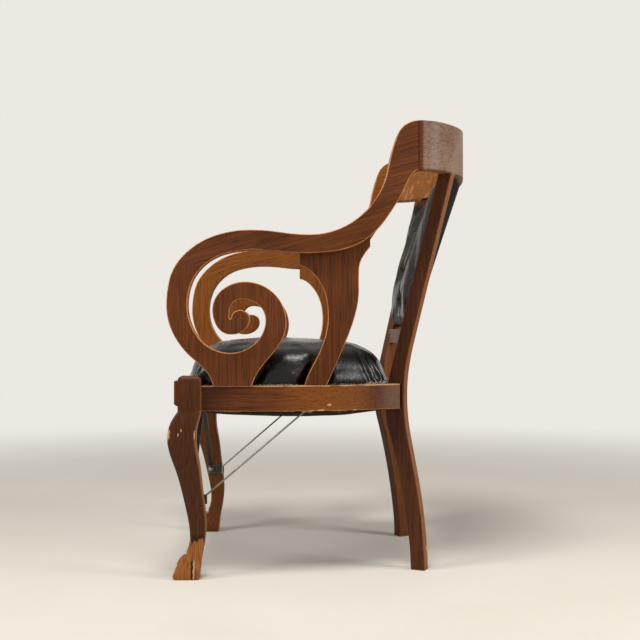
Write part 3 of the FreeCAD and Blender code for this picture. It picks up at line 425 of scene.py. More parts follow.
oak_leg = oak("oak_front_leg", post=True, deep=0.5, foot=True, chips=KNEE_CHIPS, squeeze=LONG_UP)
print("oak finishes:", [m.name for m in bpy.data.materials if m.name.startswith("oak")])

# %% [markdown]
# ## Leather, cloth, iron and hidden wood
# The seat and back wear black leather: a pebbled skin, fine cracks and browner patches where it has been
# rubbed. The cloths are plain weaves, so two waves that cross give their threads. The iron has dark scale
# with rust in it and bright rubbed edges. Each of these is one function, because the same maker's finish
# may be wanted again with other numbers.

# %% Leather finish
LEATHER_BLACK = tone(15, 14, 13)
LEATHER_RUBBED = tone(44, 36, 31)
LEATHER_CRACK = tone(70, 57, 48)


def leather(name):
    material, hide, spot = new_finish(name)
    pebbles = hide.node("ShaderNodeTexVoronoi", None, {"Vector": spot, "Scale": 620.0})
    broad = mottle(spot, 14, 3)
    lines = mottle(spot, 60, 4)
    cracks = (1 - step(abs(lines - 0.5), 0.0, 0.022)) * step(broad, 0.5, 0.62)
    coats = [(LEATHER_RUBBED, step(broad, 0.52, 0.74) * 0.6), (LEATHER_CRACK, cracks * 0.35)]
    coat_with(hide, pebbles * -0.00016 - cracks * 0.0002 + lines * 0.0008, {
        "Base Color": layers(hide, LEATHER_BLACK, coats), "Roughness": 0.17 + broad * 0.16 + cracks * 0.15,
        "Coat Weight": 0.05, "Coat Roughness": 0.12, "Specular IOR Level": 0.27})
    return material


# %% Cloth, iron and hidden wood finishes
CLOTH_STAIN = tone(22, 18, 13)
IRON_RUST = tone(86, 47, 24)
PLAIN_PALE, PLAIN_DARK = tone(186, 146, 98), tone(128, 88, 52)
WADDING_DULL, WADDING_PALE = tone(196, 186, 168), tone(232, 226, 212)


def woven(name, warp_tone, weft_tone, thread, axes=(0, 1)):
    """A plain weave whose threads run along two axes of the piece."""
    material, cloth, spot = new_finish(name)
    numbers = split(spot)
    turns = 2 * math.pi / thread
    waves = [numbers[axis].math("SINE", numbers[axis] * turns) for axis in axes]
    over = waves[0] * waves[1]
    slubs = mottle(spot, 240, 3)
    stains = step(mottle(spot, 9, 3), 0.5, 0.8)
    coats = [(weft_tone, step(over + slubs - 0.5, -0.7, 0.7)), (CLOTH_STAIN, stains * 0.6)]
    coat_with(cloth, over * (thread * 0.08) + slubs * (thread * 0.1), {
        "Base Color": layers(cloth, warp_tone, coats), "Roughness": 0.82 + slubs * 0.12,
        "Specular IOR Level": 0.1})
    return material


def iron(name, dark, bright, rust):
    material, metal, spot = new_finish(name)
    scale = mottle(spot, 120, 4)
    broad = mottle(spot, 22, 3)
    rubbed = step(edge_wear(metal, 0.0015) * 5 * (scale + 0.3) + broad * 0.35, 0.22, 0.6)
    rusty = step(broad + scale * 0.5, 0.76, 0.92) * rust
    coat_with(metal, scale * 0.00025, {
        "Base Color": layers(metal, dark, [(bright, rubbed), (IRON_RUST, rusty)]),
        "Metallic": 0.9 - rusty * 0.7, "Roughness": 0.36 + scale * 0.22 + rusty * 0.25})
    return material


def plain_wood(name):
    material, wood, spot = new_finish(name)
    grain = mottle(spot, (240, 30, 240), 4)
    dark = step(grain * 0.7 + mottle(spot, 12, 2) * 0.4, 0.42, 0.72)
    coat_with(wood, grain * 0.0002, {
        "Base Color": tint(wood, PLAIN_PALE, PLAIN_DARK, dark),
        "Roughness": 0.62 + grain * 0.2})
    return material


def wadding(name):
    """Teased cotton: pale, matt and uneven."""
    material, tufted, spot = new_finish(name)
    fluff = mottle(spot, 500, 4)
    coat_with(tufted, fluff * 0.0004, {
        "Base Color": tint(tufted, WADDING_DULL, WADDING_PALE, fluff),
        "Roughness": 0.9 + fluff * 0.08})
    return material


black_leather = leather("black_leather")
under_cloth = woven("under_cloth", tone(32, 28, 21), tone(19, 17, 13), 0.0014)
back_cloth = woven("back_cloth", tone(24, 22, 18), tone(14, 13, 11), 0.0014, axes=(0, 2))
hessian_cloth = woven("hessian_cloth", tone(150, 118, 74), tone(104, 78, 46), 0.0026)
webbing_cloth = woven("webbing_cloth", tone(166, 134, 88), tone(120, 92, 58), 0.0022)
dark_iron = iron("dark_iron", tone(62, 58, 53), tone(158, 152, 144), 0.8)
spring_steel = iron("spring_steel", tone(96, 92, 86), tone(170, 166, 160), 0.45)
bright_rod = iron("bright_rod", tone(142, 134, 122), tone(204, 198, 188), 0.3)
hidden_wood = plain_wood("hidden_wood")
cotton = wadding("cotton_wadding")
print("finishes:", len(bpy.data.materials))

# %% [markdown]
# ## Dress the CAD pieces
# Every CAD node keeps its mesh and only changes its finish. The table pairs each finish with the starts of
# its nodes' names, so that the grain lies along each board.

# %% Give each CAD node its finish
FINISHES = (
    (oak_leg, ("front_leg",)), (oak_post, ("rear_leg",)), (oak_side, ("side_rail",)),
    (oak_arm, ("arm_rail",)), (oak_crest, ("crest_rail",)),
    (oak_upright, ("leg_tablet", "arm_scroll", "arm_support")),
    (oak_cross, ("front_rail", "back_rail", "back_cross_rail")),
    (hidden_wood, ("corner_blocks", "arm_dowels", "support_dowels", "crest_dowels", "rail_dowels")),
    (dark_iron, ("leg_clip", "brace_strap", "rod_screws", "strap_screws")),
    (bright_rod, ("brace_rod", "clip_bolts")), (spring_steel, ("seat_springs",)),
    (webbing_cloth, ("seat_webbing",)), (hessian_cloth, ("seat_hessian",)), (cotton, ("seat_stuffing",)),
    (black_leather, ("seat_cover", "back_pad", "back_buttons")), (back_cloth, ("back_lining",)),
    (under_cloth, ("dust_cover",)))
for node_name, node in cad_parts.items():
    finish = next(finish for finish, starts in FINISHES if node_name.startswith(starts))
    node.data.materials.clear()
    node.data.materials.append(finish)
print("dressed", len(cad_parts), "nodes")

# %% [markdown]
# ## Tools for soft pieces
# A soft piece starts as a stack of closed outlines. Each outline is a polygon with rounded corners, cut
# into equal steps, so that neighbouring outlines pair up point for point. `skin` joins them with faces.
# That case is remeshed to an even net, and `stuffed` swells it in a cloth simulation: the held points stay
# where they are, and no point may move further than a cap, so that the piece keeps its place.

# %% Outlines and skins
def bend_point(start, corner, end, share):
    """A point of the curve that leaves its start for a corner and turns there to its end."""
    return (1 - share) ** 2 * start + 2 * share * (1 - share) * corner + share ** 2 * end


def rounded_outline(corners, radii, count):
    """Equally spaced points round a closed polygon, with a radius for each corner."""
    points = []
    befores, afters = corners[-1:] + corners[:-1], corners[1:] + corners[:1]
    for before, corner, after, radius in zip(befores, corners, afters, radii):
        corner = np.array(corner)
        arrive, leave = corner - before, after - corner
        arrive, leave = arrive / np.linalg.norm(arrive), leave / np.linalg.norm(leave)
        bend = math.acos(max(-1.0, min(1.0, float(arrive @ leave))))
        cut_back = radius * math.tan(bend / 2)
        start, end = corner - arrive * cut_back, corner + leave * cut_back
        points += [bend_point(start, corner, end, share) for share in np.linspace(0, 1, 9)]
    points = np.array(points + points[:1])
    lengths = np.concatenate([[0], np.cumsum(np.linalg.norm(np.diff(points, axis=0), axis=1))])
    along = np.linspace(0, lengths[-1], count, endpoint=False)
    return np.stack([np.interp(along, lengths, points[:, axis]) for axis in (0, 1)], axis=1)


def whole(half):
    """A closed outline from its left half."""
    return [tuple(point) for point in half] + [(-x, y) for x, y in reversed(half)]


def net_faces(rows, count, closed, first=0):
    """Four-sided faces between rows of points. A closed row joins its last point to its first."""
    faces = []
    for row in range(rows - 1):
        for i in range(count if closed else count - 1):
            a, b = first + row * count + i, first + row * count + (i + 1) % count
            faces.append((a, b, b + count, a + count))
    return faces


def skin(rings, closed_ends=True):
    """Faces between closed rings of points, with one more face over the first and the last."""
    count = len(rings[0])
    faces = net_faces(len(rings), count, True)
    if closed_ends:
        faces.append(tuple(reversed(range(count))))
        faces.append(tuple(range((len(rings) - 1) * count, len(rings) * count)))
    return np.concatenate(rings), faces


def mesh_piece(name, points, edges=(), faces=()):
    mesh = bpy.data.meshes.new(name)
    mesh.from_pydata([tuple(p) for p in points], edges, [tuple(f) for f in faces])
    piece = bpy.data.objects.new(name, mesh)
    scene.collection.objects.link(piece)
    return piece


def new_piece(name, vertices, faces, finish):
    piece = mesh_piece(name, vertices, faces=faces)
    tidy = bmesh.new()
    tidy.from_mesh(piece.data)
    bmesh.ops.recalc_face_normals(tidy, faces=tidy.faces)
    tidy.to_mesh(piece.data)
    tidy.free()
    piece.data.materials.append(finish)
    return piece


def freeze(piece):
    """Turns a piece with modifiers into a plain mesh under the same name."""
    graph = bpy.context.evaluated_depsgraph_get()
    mesh = bpy.data.meshes.new_from_object(piece.evaluated_get(graph), depsgraph=graph)
    piece.modifiers.clear()
    old = piece.data
    piece.data = mesh
    bpy.data.meshes.remove(old)
    mesh.name = piece.name


def reshape(piece, kind, **settings):
    """Runs one modifier on a piece and keeps the result."""
    modifier = piece.modifiers.new(kind.lower(), kind)
    for name, value in settings.items():
        setattr(modifier, name, value)
    freeze(piece)


def smooth_shade(piece):
    for face in piece.data.polygons:
        face.use_smooth = True


def vertex_rows(mesh, what="co"):
    """Every vertex's place, or its normal, as rows of three."""
    rows = np.empty(len(mesh.vertices) * 3)
    mesh.vertices.foreach_get(what, rows)
    return rows.reshape(-1, 3)


def move_points(piece, points):
    piece.data.vertices.foreach_set("co", points.ravel())
    piece.data.update()


# %% Stuffing by cloth simulation
SWELL_FRAMES = 20
SWELL_SETTINGS = {
    "quality": 5, "mass": 0.4, "tension_stiffness": 12, "compression_stiffness": 12, "shear_stiffness": 6,
    "bending_stiffness": 0.6, "vertex_group_mass": "held", "use_pressure": True,
    "uniform_pressure_force": 4.0}


def stuffed(piece, held, cap):
    """Swells the case as a cloth under pressure. Held is a mask of points that stay."""
    start = vertex_rows(piece.data)
    pins = piece.vertex_groups.new(name="held")
    pins.add([int(i) for i in np.flatnonzero(held)], 1.0, "REPLACE")
    cloth = piece.modifiers.new("stuffing", "CLOTH")
    for name, value in SWELL_SETTINGS.items():
        setattr(cloth.settings, name, value)
    cloth.settings.effector_weights.gravity = 0
    cloth.collision_settings.use_collision = False
    for moment in range(1, SWELL_FRAMES + 1):
        scene.frame_set(moment)
    swollen = piece.evaluated_get(bpy.context.evaluated_depsgraph_get())
    moved = vertex_rows(swollen.to_mesh()) - start
    swollen.to_mesh_clear()
    piece.modifiers.clear()
    scene.frame_set(1)
    length = np.linalg.norm(moved, axis=1, keepdims=True)
    moved *= np.minimum(1, cap / np.maximum(length, 1e-9))
    move_points(piece, start + moved)
    piece.vertex_groups.clear()
    print("%s swelled by %.1f mm at most" % (piece.name, 1000 * np.linalg.norm(moved, axis=1).max()))


print("soft tools ready")

# %% [markdown]
# ## The seat
# The seat is a leather case over wadding and springs. It is highest in the middle and drawn down to the
# rails all round, and it gives way where the scroll, the arm support and the leg block stand. The CAD
# cover is a plain dome. Here it has a full rolled edge under a low crown. That form is pressed clear of
# the wood, swollen as cloth and gathered into folds where a flat hide has to turn a corner.

# %% Seat form
SEAT_HALF = [(0.286, -0.322), (0.281, -0.017), (0.202, 0.149), (0.1475, 0.1626)]
SEAT_ROUND = [0.085, 0.036, 0.036, 0.036]
SEAT_BASE = 0.4475
SEAT_CROWN = 0.1027
SEAT_DRAW = 0.185
SEAT_ROLL = 0.050
SEAT_ROLL_HEIGHT = 0.062
SEAT_LEAD = 0.25
SEAT_LEDGE = 0.024
SEAT_HOLLOW = 0.040
SEAT_HOLLOW_TOP = 0.4985
SEAT_POINTS = 260
SEAT_NET = 0.0065
SEAT_SWELL_CAP = 0.005
SEAT_HELD = 0.008
SEAT_TOP_RINGS, SEAT_TOP_RISE = (0.75, 0.5, 0.25), 0.003
# Each row: the inner face of what stands beside the seat, then its front and its rear, at the rail and higher
SEAT_NEIGHBOURS = ((0.2630, (-0.259, -0.332), (-0.164, -0.102)), (0.2530, (-0.047, -0.004), (0.010, 0.056)),
                   (0.2580, (-0.340, -0.340), (-0.282, -0.282)))
NEIGHBOUR_GAP = 0.0012
NEIGHBOUR_SLOPE = 0.020
NEIGHBOUR_EASE = 0.03
seat_outline = rounded_outline(whole(SEAT_HALF), SEAT_ROUND + SEAT_ROUND[::-1], SEAT_POINTS)
seat_middle = (min(y for _, y in SEAT_HALF) + max(y for _, y in SEAT_HALF)) / 2
seat_wide = max(x for x, _ in SEAT_HALF)
seat_long = max(y for _, y in SEAT_HALF) - seat_middle


def seat_ring(inset, height):
    """The seat's outline drawn in towards its middle, at a height."""
    x = seat_outline[:, 0] * (1 - inset / seat_wide)
    y = seat_middle + (seat_outline[:, 1] - seat_middle) * (1 - inset / seat_long) - SEAT_LEAD * inset
    return np.stack([x, y, np.full(len(x), height)], axis=1)


def clear_of_wood(points):
    """Presses points inwards where they would lie in the scroll, the arm support or the leg block."""
    side, y = np.abs(points[:, 0]), points[:, 1]
    rise = (points[:, 2] - SEAT_BASE) / SEAT_CROWN
    limit = np.full(len(points), 1.0)
    for face, fronts, rears in SEAT_NEIGHBOURS:
        front = fronts[0] + rise * (fronts[1] - fronts[0])
        rear = rears[0] + rise * (rears[1] - rears[0])
        outside = np.maximum(np.maximum(front - y, y - rear), 0) / NEIGHBOUR_SLOPE
        limit = np.minimum(limit, face - NEIGHBOUR_GAP + NEIGHBOUR_EASE * outside ** 2)
    points[:, 0] = np.sign(points[:, 0]) * np.minimum(side, limit)
    return points


def round_off(share):
    """The height of a quarter circle at a share of its width."""
    return math.sqrt(1 - (1 - min(share, 1)) ** 2)


def seat_rise(inset):
    """A rolled edge under a low crown."""
    crown = (SEAT_CROWN - SEAT_ROLL_HEIGHT) * round_off(inset / SEAT_DRAW)
    return SEAT_ROLL_HEIGHT * round_off(inset / SEAT_ROLL) + crown


rings = [seat_ring(SEAT_DRAW, SEAT_HOLLOW_TOP), seat_ring(SEAT_HOLLOW, SEAT_HOLLOW_TOP),
         seat_ring(SEAT_LEDGE, SEAT_BASE)]
roll_insets = [SEAT_ROLL * (1 - math.cos(angle)) for angle in np.linspace(0, math.pi / 2, 10)]
crown_insets = list(np.linspace(SEAT_ROLL, SEAT_DRAW, 8))[1:]
for inset in roll_insets + crown_insets:
    rings.append(seat_ring(inset, SEAT_BASE + seat_rise(inset)))
top_ring = rings[-1]
for share in SEAT_TOP_RINGS:
    ring = top_ring.mean(axis=0) + (top_ring - top_ring.mean(axis=0)) * share
    ring[:, 2] += SEAT_TOP_RISE * (1 - share ** 2)
    rings.append(ring)
seat = new_piece("seat_leather", *skin(rings), black_leather)
move_points(seat, clear_of_wood(vertex_rows(seat.data)))
reshape(seat, "REMESH", mode="VOXEL", voxel_size=SEAT_NET)
print("seat net:", len(seat.data.vertices), "points")

# %% Seat swelling and folds
low = vertex_rows(seat.data)[:, 2] < SEAT_BASE + SEAT_HELD
stuffed(seat, low | (vertex_rows(seat.data, "normal")[:, 2] < -0.3), SEAT_SWELL_CAP)
reshape(seat, "SUBSURF", levels=1, render_levels=1)

# Each fold: where it meets the rail, and its depth
REAR_FOLDS = ((0.122, 0.0052), (0.139, 0.0040))
FOLD_WIDTH = 0.0065
FOLD_LEAN = 0.05
FOLD_SIDE = 0.12
SEAT_WAVES = ((11.0, (0, 0, 0), 0.0024), (38.0, (7, 0, 0), 0.0006))


def bumps(points, scale, shift=(0, 0, 0)):
    """Noise at each point, with so many bumps a metre."""
    return np.array([noise.noise(Vector(p) * scale + Vector(shift)) for p in points])


def seat_folds(points, normals):
    """Sinks folds into the sides of the seat, and lets its top undulate."""
    moved = np.zeros(len(points))
    rise = np.clip((points[:, 2] - SEAT_BASE) / SEAT_CROWN, 0, 1)
    fade = np.clip(1.15 - rise * 1.5, 0, 1) * np.clip(rise * 9, 0, 1) * (np.abs(points[:, 0]) > FOLD_SIDE)
    for place, depth in REAR_FOLDS:
        off = (points[:, 1] - place + FOLD_LEAN * rise) / FOLD_WIDTH
        moved -= depth * np.exp(-off ** 2) * fade
        moved += depth * 0.25 * np.exp(-(np.abs(off) - 1.9) ** 2) * fade
    for scale, shift, height in SEAT_WAVES:
        moved += np.clip(rise * 3, 0, 1) * bumps(points, scale, shift) * height
    outward = (normals[:, 2] > -0.25)[:, None]
    return points + normals * moved[:, None] * outward


points = clear_of_wood(seat_folds(vertex_rows(seat.data), vertex_rows(seat.data, "normal")))
points[:, 2] = np.maximum(points[:, 2], SEAT_BASE)
move_points(seat, points)
smooth_shade(seat)
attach(seat, "root")
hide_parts("seat_cover", "seat_stuffing")
print("seat:", len(seat.data.polygons), "faces, top at %.3f m" % points[:, 2].max())

# %% [markdown]
# ## The tufted back
# The back pad swells in front of the two posts and is hollow between them. Buttons pull it in at ten
# places, and the loose leather between buttons falls into pleats along the diagonals. The pad is skinned
# from level sections like the CAD one. The cloth then swells it, and the buttons and pleats are pressed in
# afterwards, because a remeshed net would have blurred them.

# %% Back form
POST_X, POST_Y = 0.1865, 0.1996
POST_TURN = math.radians(26)
POST_KNEE = 0.518
POST_FRONT = -0.020
BACK_RAKE = 0.2575
PAD_LOW, PAD_HIGH = 0.588, 0.941
PAD_SIDE = -0.0156
PAD_THICK = 0.026
PAD_SWELL = 0.035
PAD_SHOULDER = 0.024
PAD_HOLLOW = (0.008, 0.046)
PAD_HEIGHTS = (0.0, 0.07, 0.2, 0.4, 0.6, 0.8, 0.94, 1.0)
PAD_SWELLS = (0.15, 0.7, 1.0, 1.1, 1.02, 0.98, 0.85, 0.45)
PAD_EDGE, PAD_LEAD = 0.003, 0.72
PAD_HELD, PAD_HELD_BACK = 0.004, 0.012
PAD_SHRINK = 0.003
PAD_END, PAD_END_SHARE = 0.006, 0.03
PAD_NET = 0.005
PAD_SWELL_CAP = 0.006


def post_point(along, across):
    """A place in plan, from how far it lies along and across the left post's section."""
    x = POST_X + along * math.sin(POST_TURN) + across * math.cos(POST_TURN)
    y = POST_Y + along * math.cos(POST_TURN) - across * math.sin(POST_TURN)
    return np.array([x, y])


def post_front(z):
    """How far back the front of a post lies at a height."""
    return POST_FRONT + (z - POST_KNEE) * BACK_RAKE


def pad_share(z):
    """How far up the pad a height lies, from 0 to 1."""
    return (z - PAD_LOW) / (PAD_HIGH - PAD_LOW)


def pad_bow(edge, z, count):
    """Points from a left edge to its mirror image, hollowed to the rear."""
    hollow = PAD_HOLLOW[0] + pad_share(z) * (PAD_HOLLOW[1] - PAD_HOLLOW[0])
    across = np.linspace(1, -1, count)
    return np.stack([across * edge[0], edge[1] + hollow * (1 - across ** 2)], axis=1)


def pad_ring(z, shrink):
    """The pad's plan at a height, drawn in by a little so that the cloth can swell it."""
    swell = np.interp(pad_share(z), PAD_HEIGHTS, PAD_SWELLS)
    edge = post_point(post_front(z) + PAD_EDGE, PAD_SIDE - shrink)
    back = post_point(post_front(z) + PAD_THICK - shrink, PAD_SIDE - shrink)
    crown = post_point(post_front(z) - swell * PAD_SWELL + shrink, PAD_SIDE - PAD_SHOULDER)
    lead = post_point(post_front(z) - PAD_LEAD * swell * PAD_SWELL + shrink, PAD_SIDE - shrink)
    shoulder = [bend_point(edge, lead, crown, share) for share in np.linspace(0, 1, 10)[:-1]]
    shoulder = np.array([back] + shoulder)
    mirrored = (shoulder * (-1, 1))[::-1]
    plan = np.concatenate([shoulder, pad_bow(crown, z, 41), mirrored, pad_bow(back, z, 31)[::-1][1:-1]])
    return np.concatenate([plan, np.full((len(plan), 1), z)], axis=1)


pad_rings = []
for share in np.linspace(0, 1, 60):
    end_round = 1 - round_off(min(share, 1 - share) / PAD_END_SHARE)
    pad_rings.append(pad_ring(PAD_LOW + share * (PAD_HIGH - PAD_LOW), PAD_SHRINK + PAD_END * end_round))
back_pad = new_piece("back_leather", *skin(pad_rings), black_leather)
reshape(back_pad, "REMESH", mode="VOXEL", voxel_size=PAD_NET)
start = vertex_rows(back_pad.data)
behind = start[:, 1] > [post_point(post_front(z) + PAD_HELD, 0)[1] + PAD_HELD_BACK for z in start[:, 2]]
stuffed(back_pad, behind & (vertex_rows(back_pad.data, "normal")[:, 1] > -0.2), PAD_SWELL_CAP)
reshape(back_pad, "SUBSURF", levels=1, render_levels=1)
print("back net:", len(back_pad.data.vertices), "points")

# %% Buttons and pleats pressed into the back
TUFT_ROWS = ((0.2, (-0.5, 0.5)), (0.4, (-0.9, 0.0, 0.9)), (0.6, (-0.5, 0.5)), (0.8, (-0.9, 0.0, 0.9)))
TUFT_SPREAD = 0.75
TUFT_DEPTH = 0.010
TUFT_REACH = 0.019
TUFT_PUFF = 0.003
PAD_BUMPS, PAD_BUMP_HEIGHT = 30.0, 0.0011
PLEAT_DEPTH = 0.0036
PLEAT_WIDTH = 0.0046
PLEAT_REACH = 0.075
PLEAT_END = 0.004


def tuft_places():
    """Each button's place across and up the pad."""
    rows = []
    for share, places in TUFT_ROWS:
        z = PAD_LOW + share * (PAD_HIGH - PAD_LOW)
        crown = post_point(post_front(z) - PAD_SWELL, PAD_SIDE - PAD_SHOULDER)
        rows.append([np.array([place * TUFT_SPREAD * crown[0], z]) for place in places])
    return rows


def pleat_lines(rows):
    """Lines between buttons of neighbouring rows, and from the end rows to the pad's low and high edges."""
    lines = []
    for lower, upper in zip(rows, rows[1:]):
        lines += [(a, b) for a in lower for b in upper if abs(a[0] - b[0]) < PLEAT_REACH]
    for row, spread, end in ((rows[0], 1.05, PAD_LOW + PLEAT_END), (rows[-1], 1.06, PAD_HIGH - PLEAT_END)):
        lines += [(a, np.array([a[0] * spread, end])) for a in row]
    return lines


def press_tufts(points, normals):
    """Sinks dimples and pleats into the front of the pad, and puffs up the rest."""
    flat = points[:, (0, 2)]
    sunk = np.zeros(len(points))
    rows = tuft_places()
    for place in sum(rows, []):
        far = np.linalg.norm(flat - place, axis=1)
        sunk = np.maximum(sunk, TUFT_DEPTH * np.exp(-(far / TUFT_REACH) ** 2))
    for a, b in pleat_lines(rows):
        run = b - a
        share = np.clip(((flat - a) @ run) / (run @ run), 0, 1)
        far = np.linalg.norm(flat - a - share[:, None] * run, axis=1)
        slack = 0.55 + 0.45 * np.cos(share * math.pi) ** 2
        pleat = PLEAT_DEPTH * slack * np.exp(-(far / PLEAT_WIDTH) ** 2)
        sunk = sunk + pleat * (1 - sunk / (1.6 * TUFT_DEPTH))
    front = np.clip(-normals[:, 1] * 1.6 - 0.1, 0, 1)
    raised = TUFT_PUFF - sunk + bumps(points, PAD_BUMPS) * PAD_BUMP_HEIGHT
    return points + normals * (raised * front)[:, None]


move_points(back_pad, press_tufts(vertex_rows(back_pad.data), vertex_rows(back_pad.data, "normal")))
smooth_shade(back_pad)
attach(back_pad, "root")
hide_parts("back_pad")
print("back:", len(back_pad.data.polygons), "faces")

# %% [markdown]
# ## Buttons
# The ten buttons are all alike, so one is turned on a lathe and Geometry Nodes puts a copy at every
# dimple. The points come from rays shot at the finished leather, so each button sits where the leather
# really is. The tree realizes its copies and sets their material, and the result becomes a plain mesh.

# %% Helpers for repeated pieces
def lathe(name, circles, sides, finish):
    """A turned form. Each circle has a place for its middle and a radius."""
    turns = np.arange(sides) * 2 * math.pi / sides
    circle = np.stack([np.cos(turns), np.sin(turns), np.zeros(sides)], axis=1)
    return new_piece(name, *skin([middle + radius * circle for middle, radius in circles]), finish)


def upright(profile):
    """The circles of an upright form, from its radii and heights."""
    return [((0, 0, height), radius) for radius, height in profile]


def repeat(piece, form, finish, label, kind, setting, place):
    """Puts a copy of a form wherever `place` says, in Geometry Nodes, and keeps the result as a plain mesh.

    The tree's inputs are the piece's own points, the form and one labelled setting.
    """
    group = bpy.data.node_groups.new(piece.name + "_tree", "GeometryNodeTree")
    for name, socket in (("Geometry", "Geometry"), ("Form", "Object"), (label, kind)):
        group.interface.new_socket(name, in_out="INPUT", socket_type="NodeSocket" + socket)
    group.interface.new_socket("Geometry", in_out="OUTPUT", socket_type="NodeSocketGeometry")
    tree = Tree(group)
    inputs = tree.node("NodeGroupInput")
    instance = tree.node("GeometryNodeObjectInfo", None, {"Object": inputs.out("Form")}, output="Geometry")
    copies = tree.node("GeometryNodeInstanceOnPoints", None, {
        "Points": inputs, "Instance": instance, **place(tree, inputs, inputs.out(label))})
    real = tree.node("GeometryNodeRealizeInstances", None, {0: copies})
    done = tree.node("GeometryNodeSetMaterial", None, {"Geometry": real, "Material": finish})
    tree.node("NodeGroupOutput", None, {0: done})

    modifier = piece.modifiers.new(group.name, "NODES")
    modifier.node_group = group
    for item in group.interface.items_tree:
        if item.name == "Form":
            modifier[item.identifier] = form
        elif item.name == label:
            modifier[item.identifier] = setting
    piece.update_tag()
    freeze(piece)
    bpy.data.objects.remove(form)


def stored(tree, name, kind):
    """What each point of the piece remembers under a name."""
    return tree.node("GeometryNodeInputNamedAttribute", {"data_type": kind}, {"Name": name})


def remember(piece, name, kind, values):
    """Gives each point of a piece a value under a name."""
    field = "vector" if kind == "FLOAT_VECTOR" else "value"
    piece.data.attributes.new(name, kind, "POINT").data.foreach_set(field, np.ravel(values))


# %% Buttons on the back
BUTTON_PROFILE = ((0.0052, -0.0022), (0.0066, -0.0010), (0.0070, 0.0006), (0.0064, 0.0022), (0.0050, 0.0037),
                  (0.0028, 0.0047), (0.0006, 0.0050))
BUTTON_SIDES = 20
BUTTON_LIFT = 0.0012
BUTTON_SPLAY = 0.25

skin_tree = BVHTree.FromObject(back_pad, bpy.context.evaluated_depsgraph_get())
seats, outwards = [], []
for x, z in sum(tuft_places(), []):
    hit = skin_tree.ray_cast(Vector((x, 0.0, z)), Vector((0, 1, 0)))[0]
    outward = Vector((-BUTTON_SPLAY * x, -1, -BACK_RAKE)).normalized()
    seats.append(hit + outward * BUTTON_LIFT)
    outwards.append(outward)
buttons = mesh_piece("back_button_leather", seats)
remember(buttons, "outward", "FLOAT_VECTOR", outwards)


def on_leather(tree, points, size):
    """Each button faces the way that its point remembers."""
    facing = stored(tree, "outward", "FLOAT_VECTOR")
    turn = tree.node("FunctionNodeAlignRotationToVector", {"axis": "Z"}, {"Vector": facing})
    return {"Rotation": turn, "Scale": size}


button_form = lathe("button_form", upright(BUTTON_PROFILE), BUTTON_SIDES, black_leather)
repeat(buttons, button_form, black_leather, "Size", "Float", 1.0, on_leather)
smooth_shade(buttons)
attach(buttons, "root")
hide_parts("back_buttons")
print("buttons:", len(seats), "with", len(buttons.data.polygons), "faces")

# %% [markdown]
# ## Cloth sheets
# Three flat cloths were cut and tacked on: hessian over the springs, a dark cloth under the seat that has
# sagged with age, and a lining behind the back. A sheet is a net of points with a small thickness. Its
# folds come from noise, because a tacked sheet hardly moves and a simulation would show little more.


def thin_sheet(name, vertices, faces, finish, thick):
    piece = new_piece(name, vertices, faces, finish)
    reshape(piece, "SOLIDIFY", thickness=thick, offset=0)
    smooth_shade(piece)
    return piece


def disc_sheet(outline, middle, rows, height):
    """A net of shrinking outlines. Height gives each point's level from its place and its share inwards."""
    rings = []
    for share in np.linspace(0, 0.97, rows):
        ring = middle + (outline - middle) * (1 - share)
        levels = np.array([height(x, y, share) for x, y in ring])
        rings.append(np.concatenate([ring, levels[:, None]], axis=1))
    vertices, faces = skin(rings, closed_ends=False)
    faces.append(tuple(range(len(vertices) - len(outline), len(vertices))))
    return vertices, faces


CLOTH_HALF = [(0.2495, -0.301), (0.266, -0.021), (0.202, 0.140), (0.1475, 0.1626)]
CLOTH_ROUND = [0.030] * 8
CLOTH_POINTS, CLOTH_ROWS = 180, 30
CLOTH_TOP = 0.3834
CLOTH_SAG = 0.025
CLOTH_FOLD = 0.0022
CLOTH_THICK = 0.0009
cloth_outline = rounded_outline(whole(CLOTH_HALF), CLOTH_ROUND, CLOTH_POINTS)
cloth_middle = np.array([0.0, -0.069])


def sagged(x, y, share):
    """The level of the cloth under the seat, lowest in the middle and gently folded."""
    fold = noise.noise(Vector((x * 9, y * 9, 0.4))) + 0.5 * noise.noise(Vector((x * 26, y * 26, 3.1)))
    drop = CLOTH_SAG * (1 - (1 - share) ** 2)
    return CLOTH_TOP - drop + CLOTH_FOLD * fold * min(1, share * 5)


cloth_net = disc_sheet(cloth_outline, cloth_middle, CLOTH_ROWS, sagged)
dust_cloth = thin_sheet("dust_cloth", *cloth_net, under_cloth, CLOTH_THICK)
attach(dust_cloth, "root")
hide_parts("dust_cover")
dust_flat = (2 * max(x for x, _ in CLOTH_HALF), CLOTH_HALF[-1][1] - CLOTH_HALF[0][1])

HESSIAN_INSET = 0.036
HESSIAN_LEVEL = 0.4956
HESSIAN_THICK = 0.0010
HESSIAN_ROWS = 16
hessian_outline = seat_ring(HESSIAN_INSET, 0.0)[:, :2]
hessian_net = disc_sheet(hessian_outline, hessian_outline.mean(axis=0), HESSIAN_ROWS,
                         lambda x, y, share: HESSIAN_LEVEL)
hessian = thin_sheet("hessian_sheet", *hessian_net, hessian_cloth, HESSIAN_THICK)
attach(hessian, "root")
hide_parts("seat_hessian")
hessian_flat = tuple(float(side) for side in np.ptp(hessian_outline, axis=0))

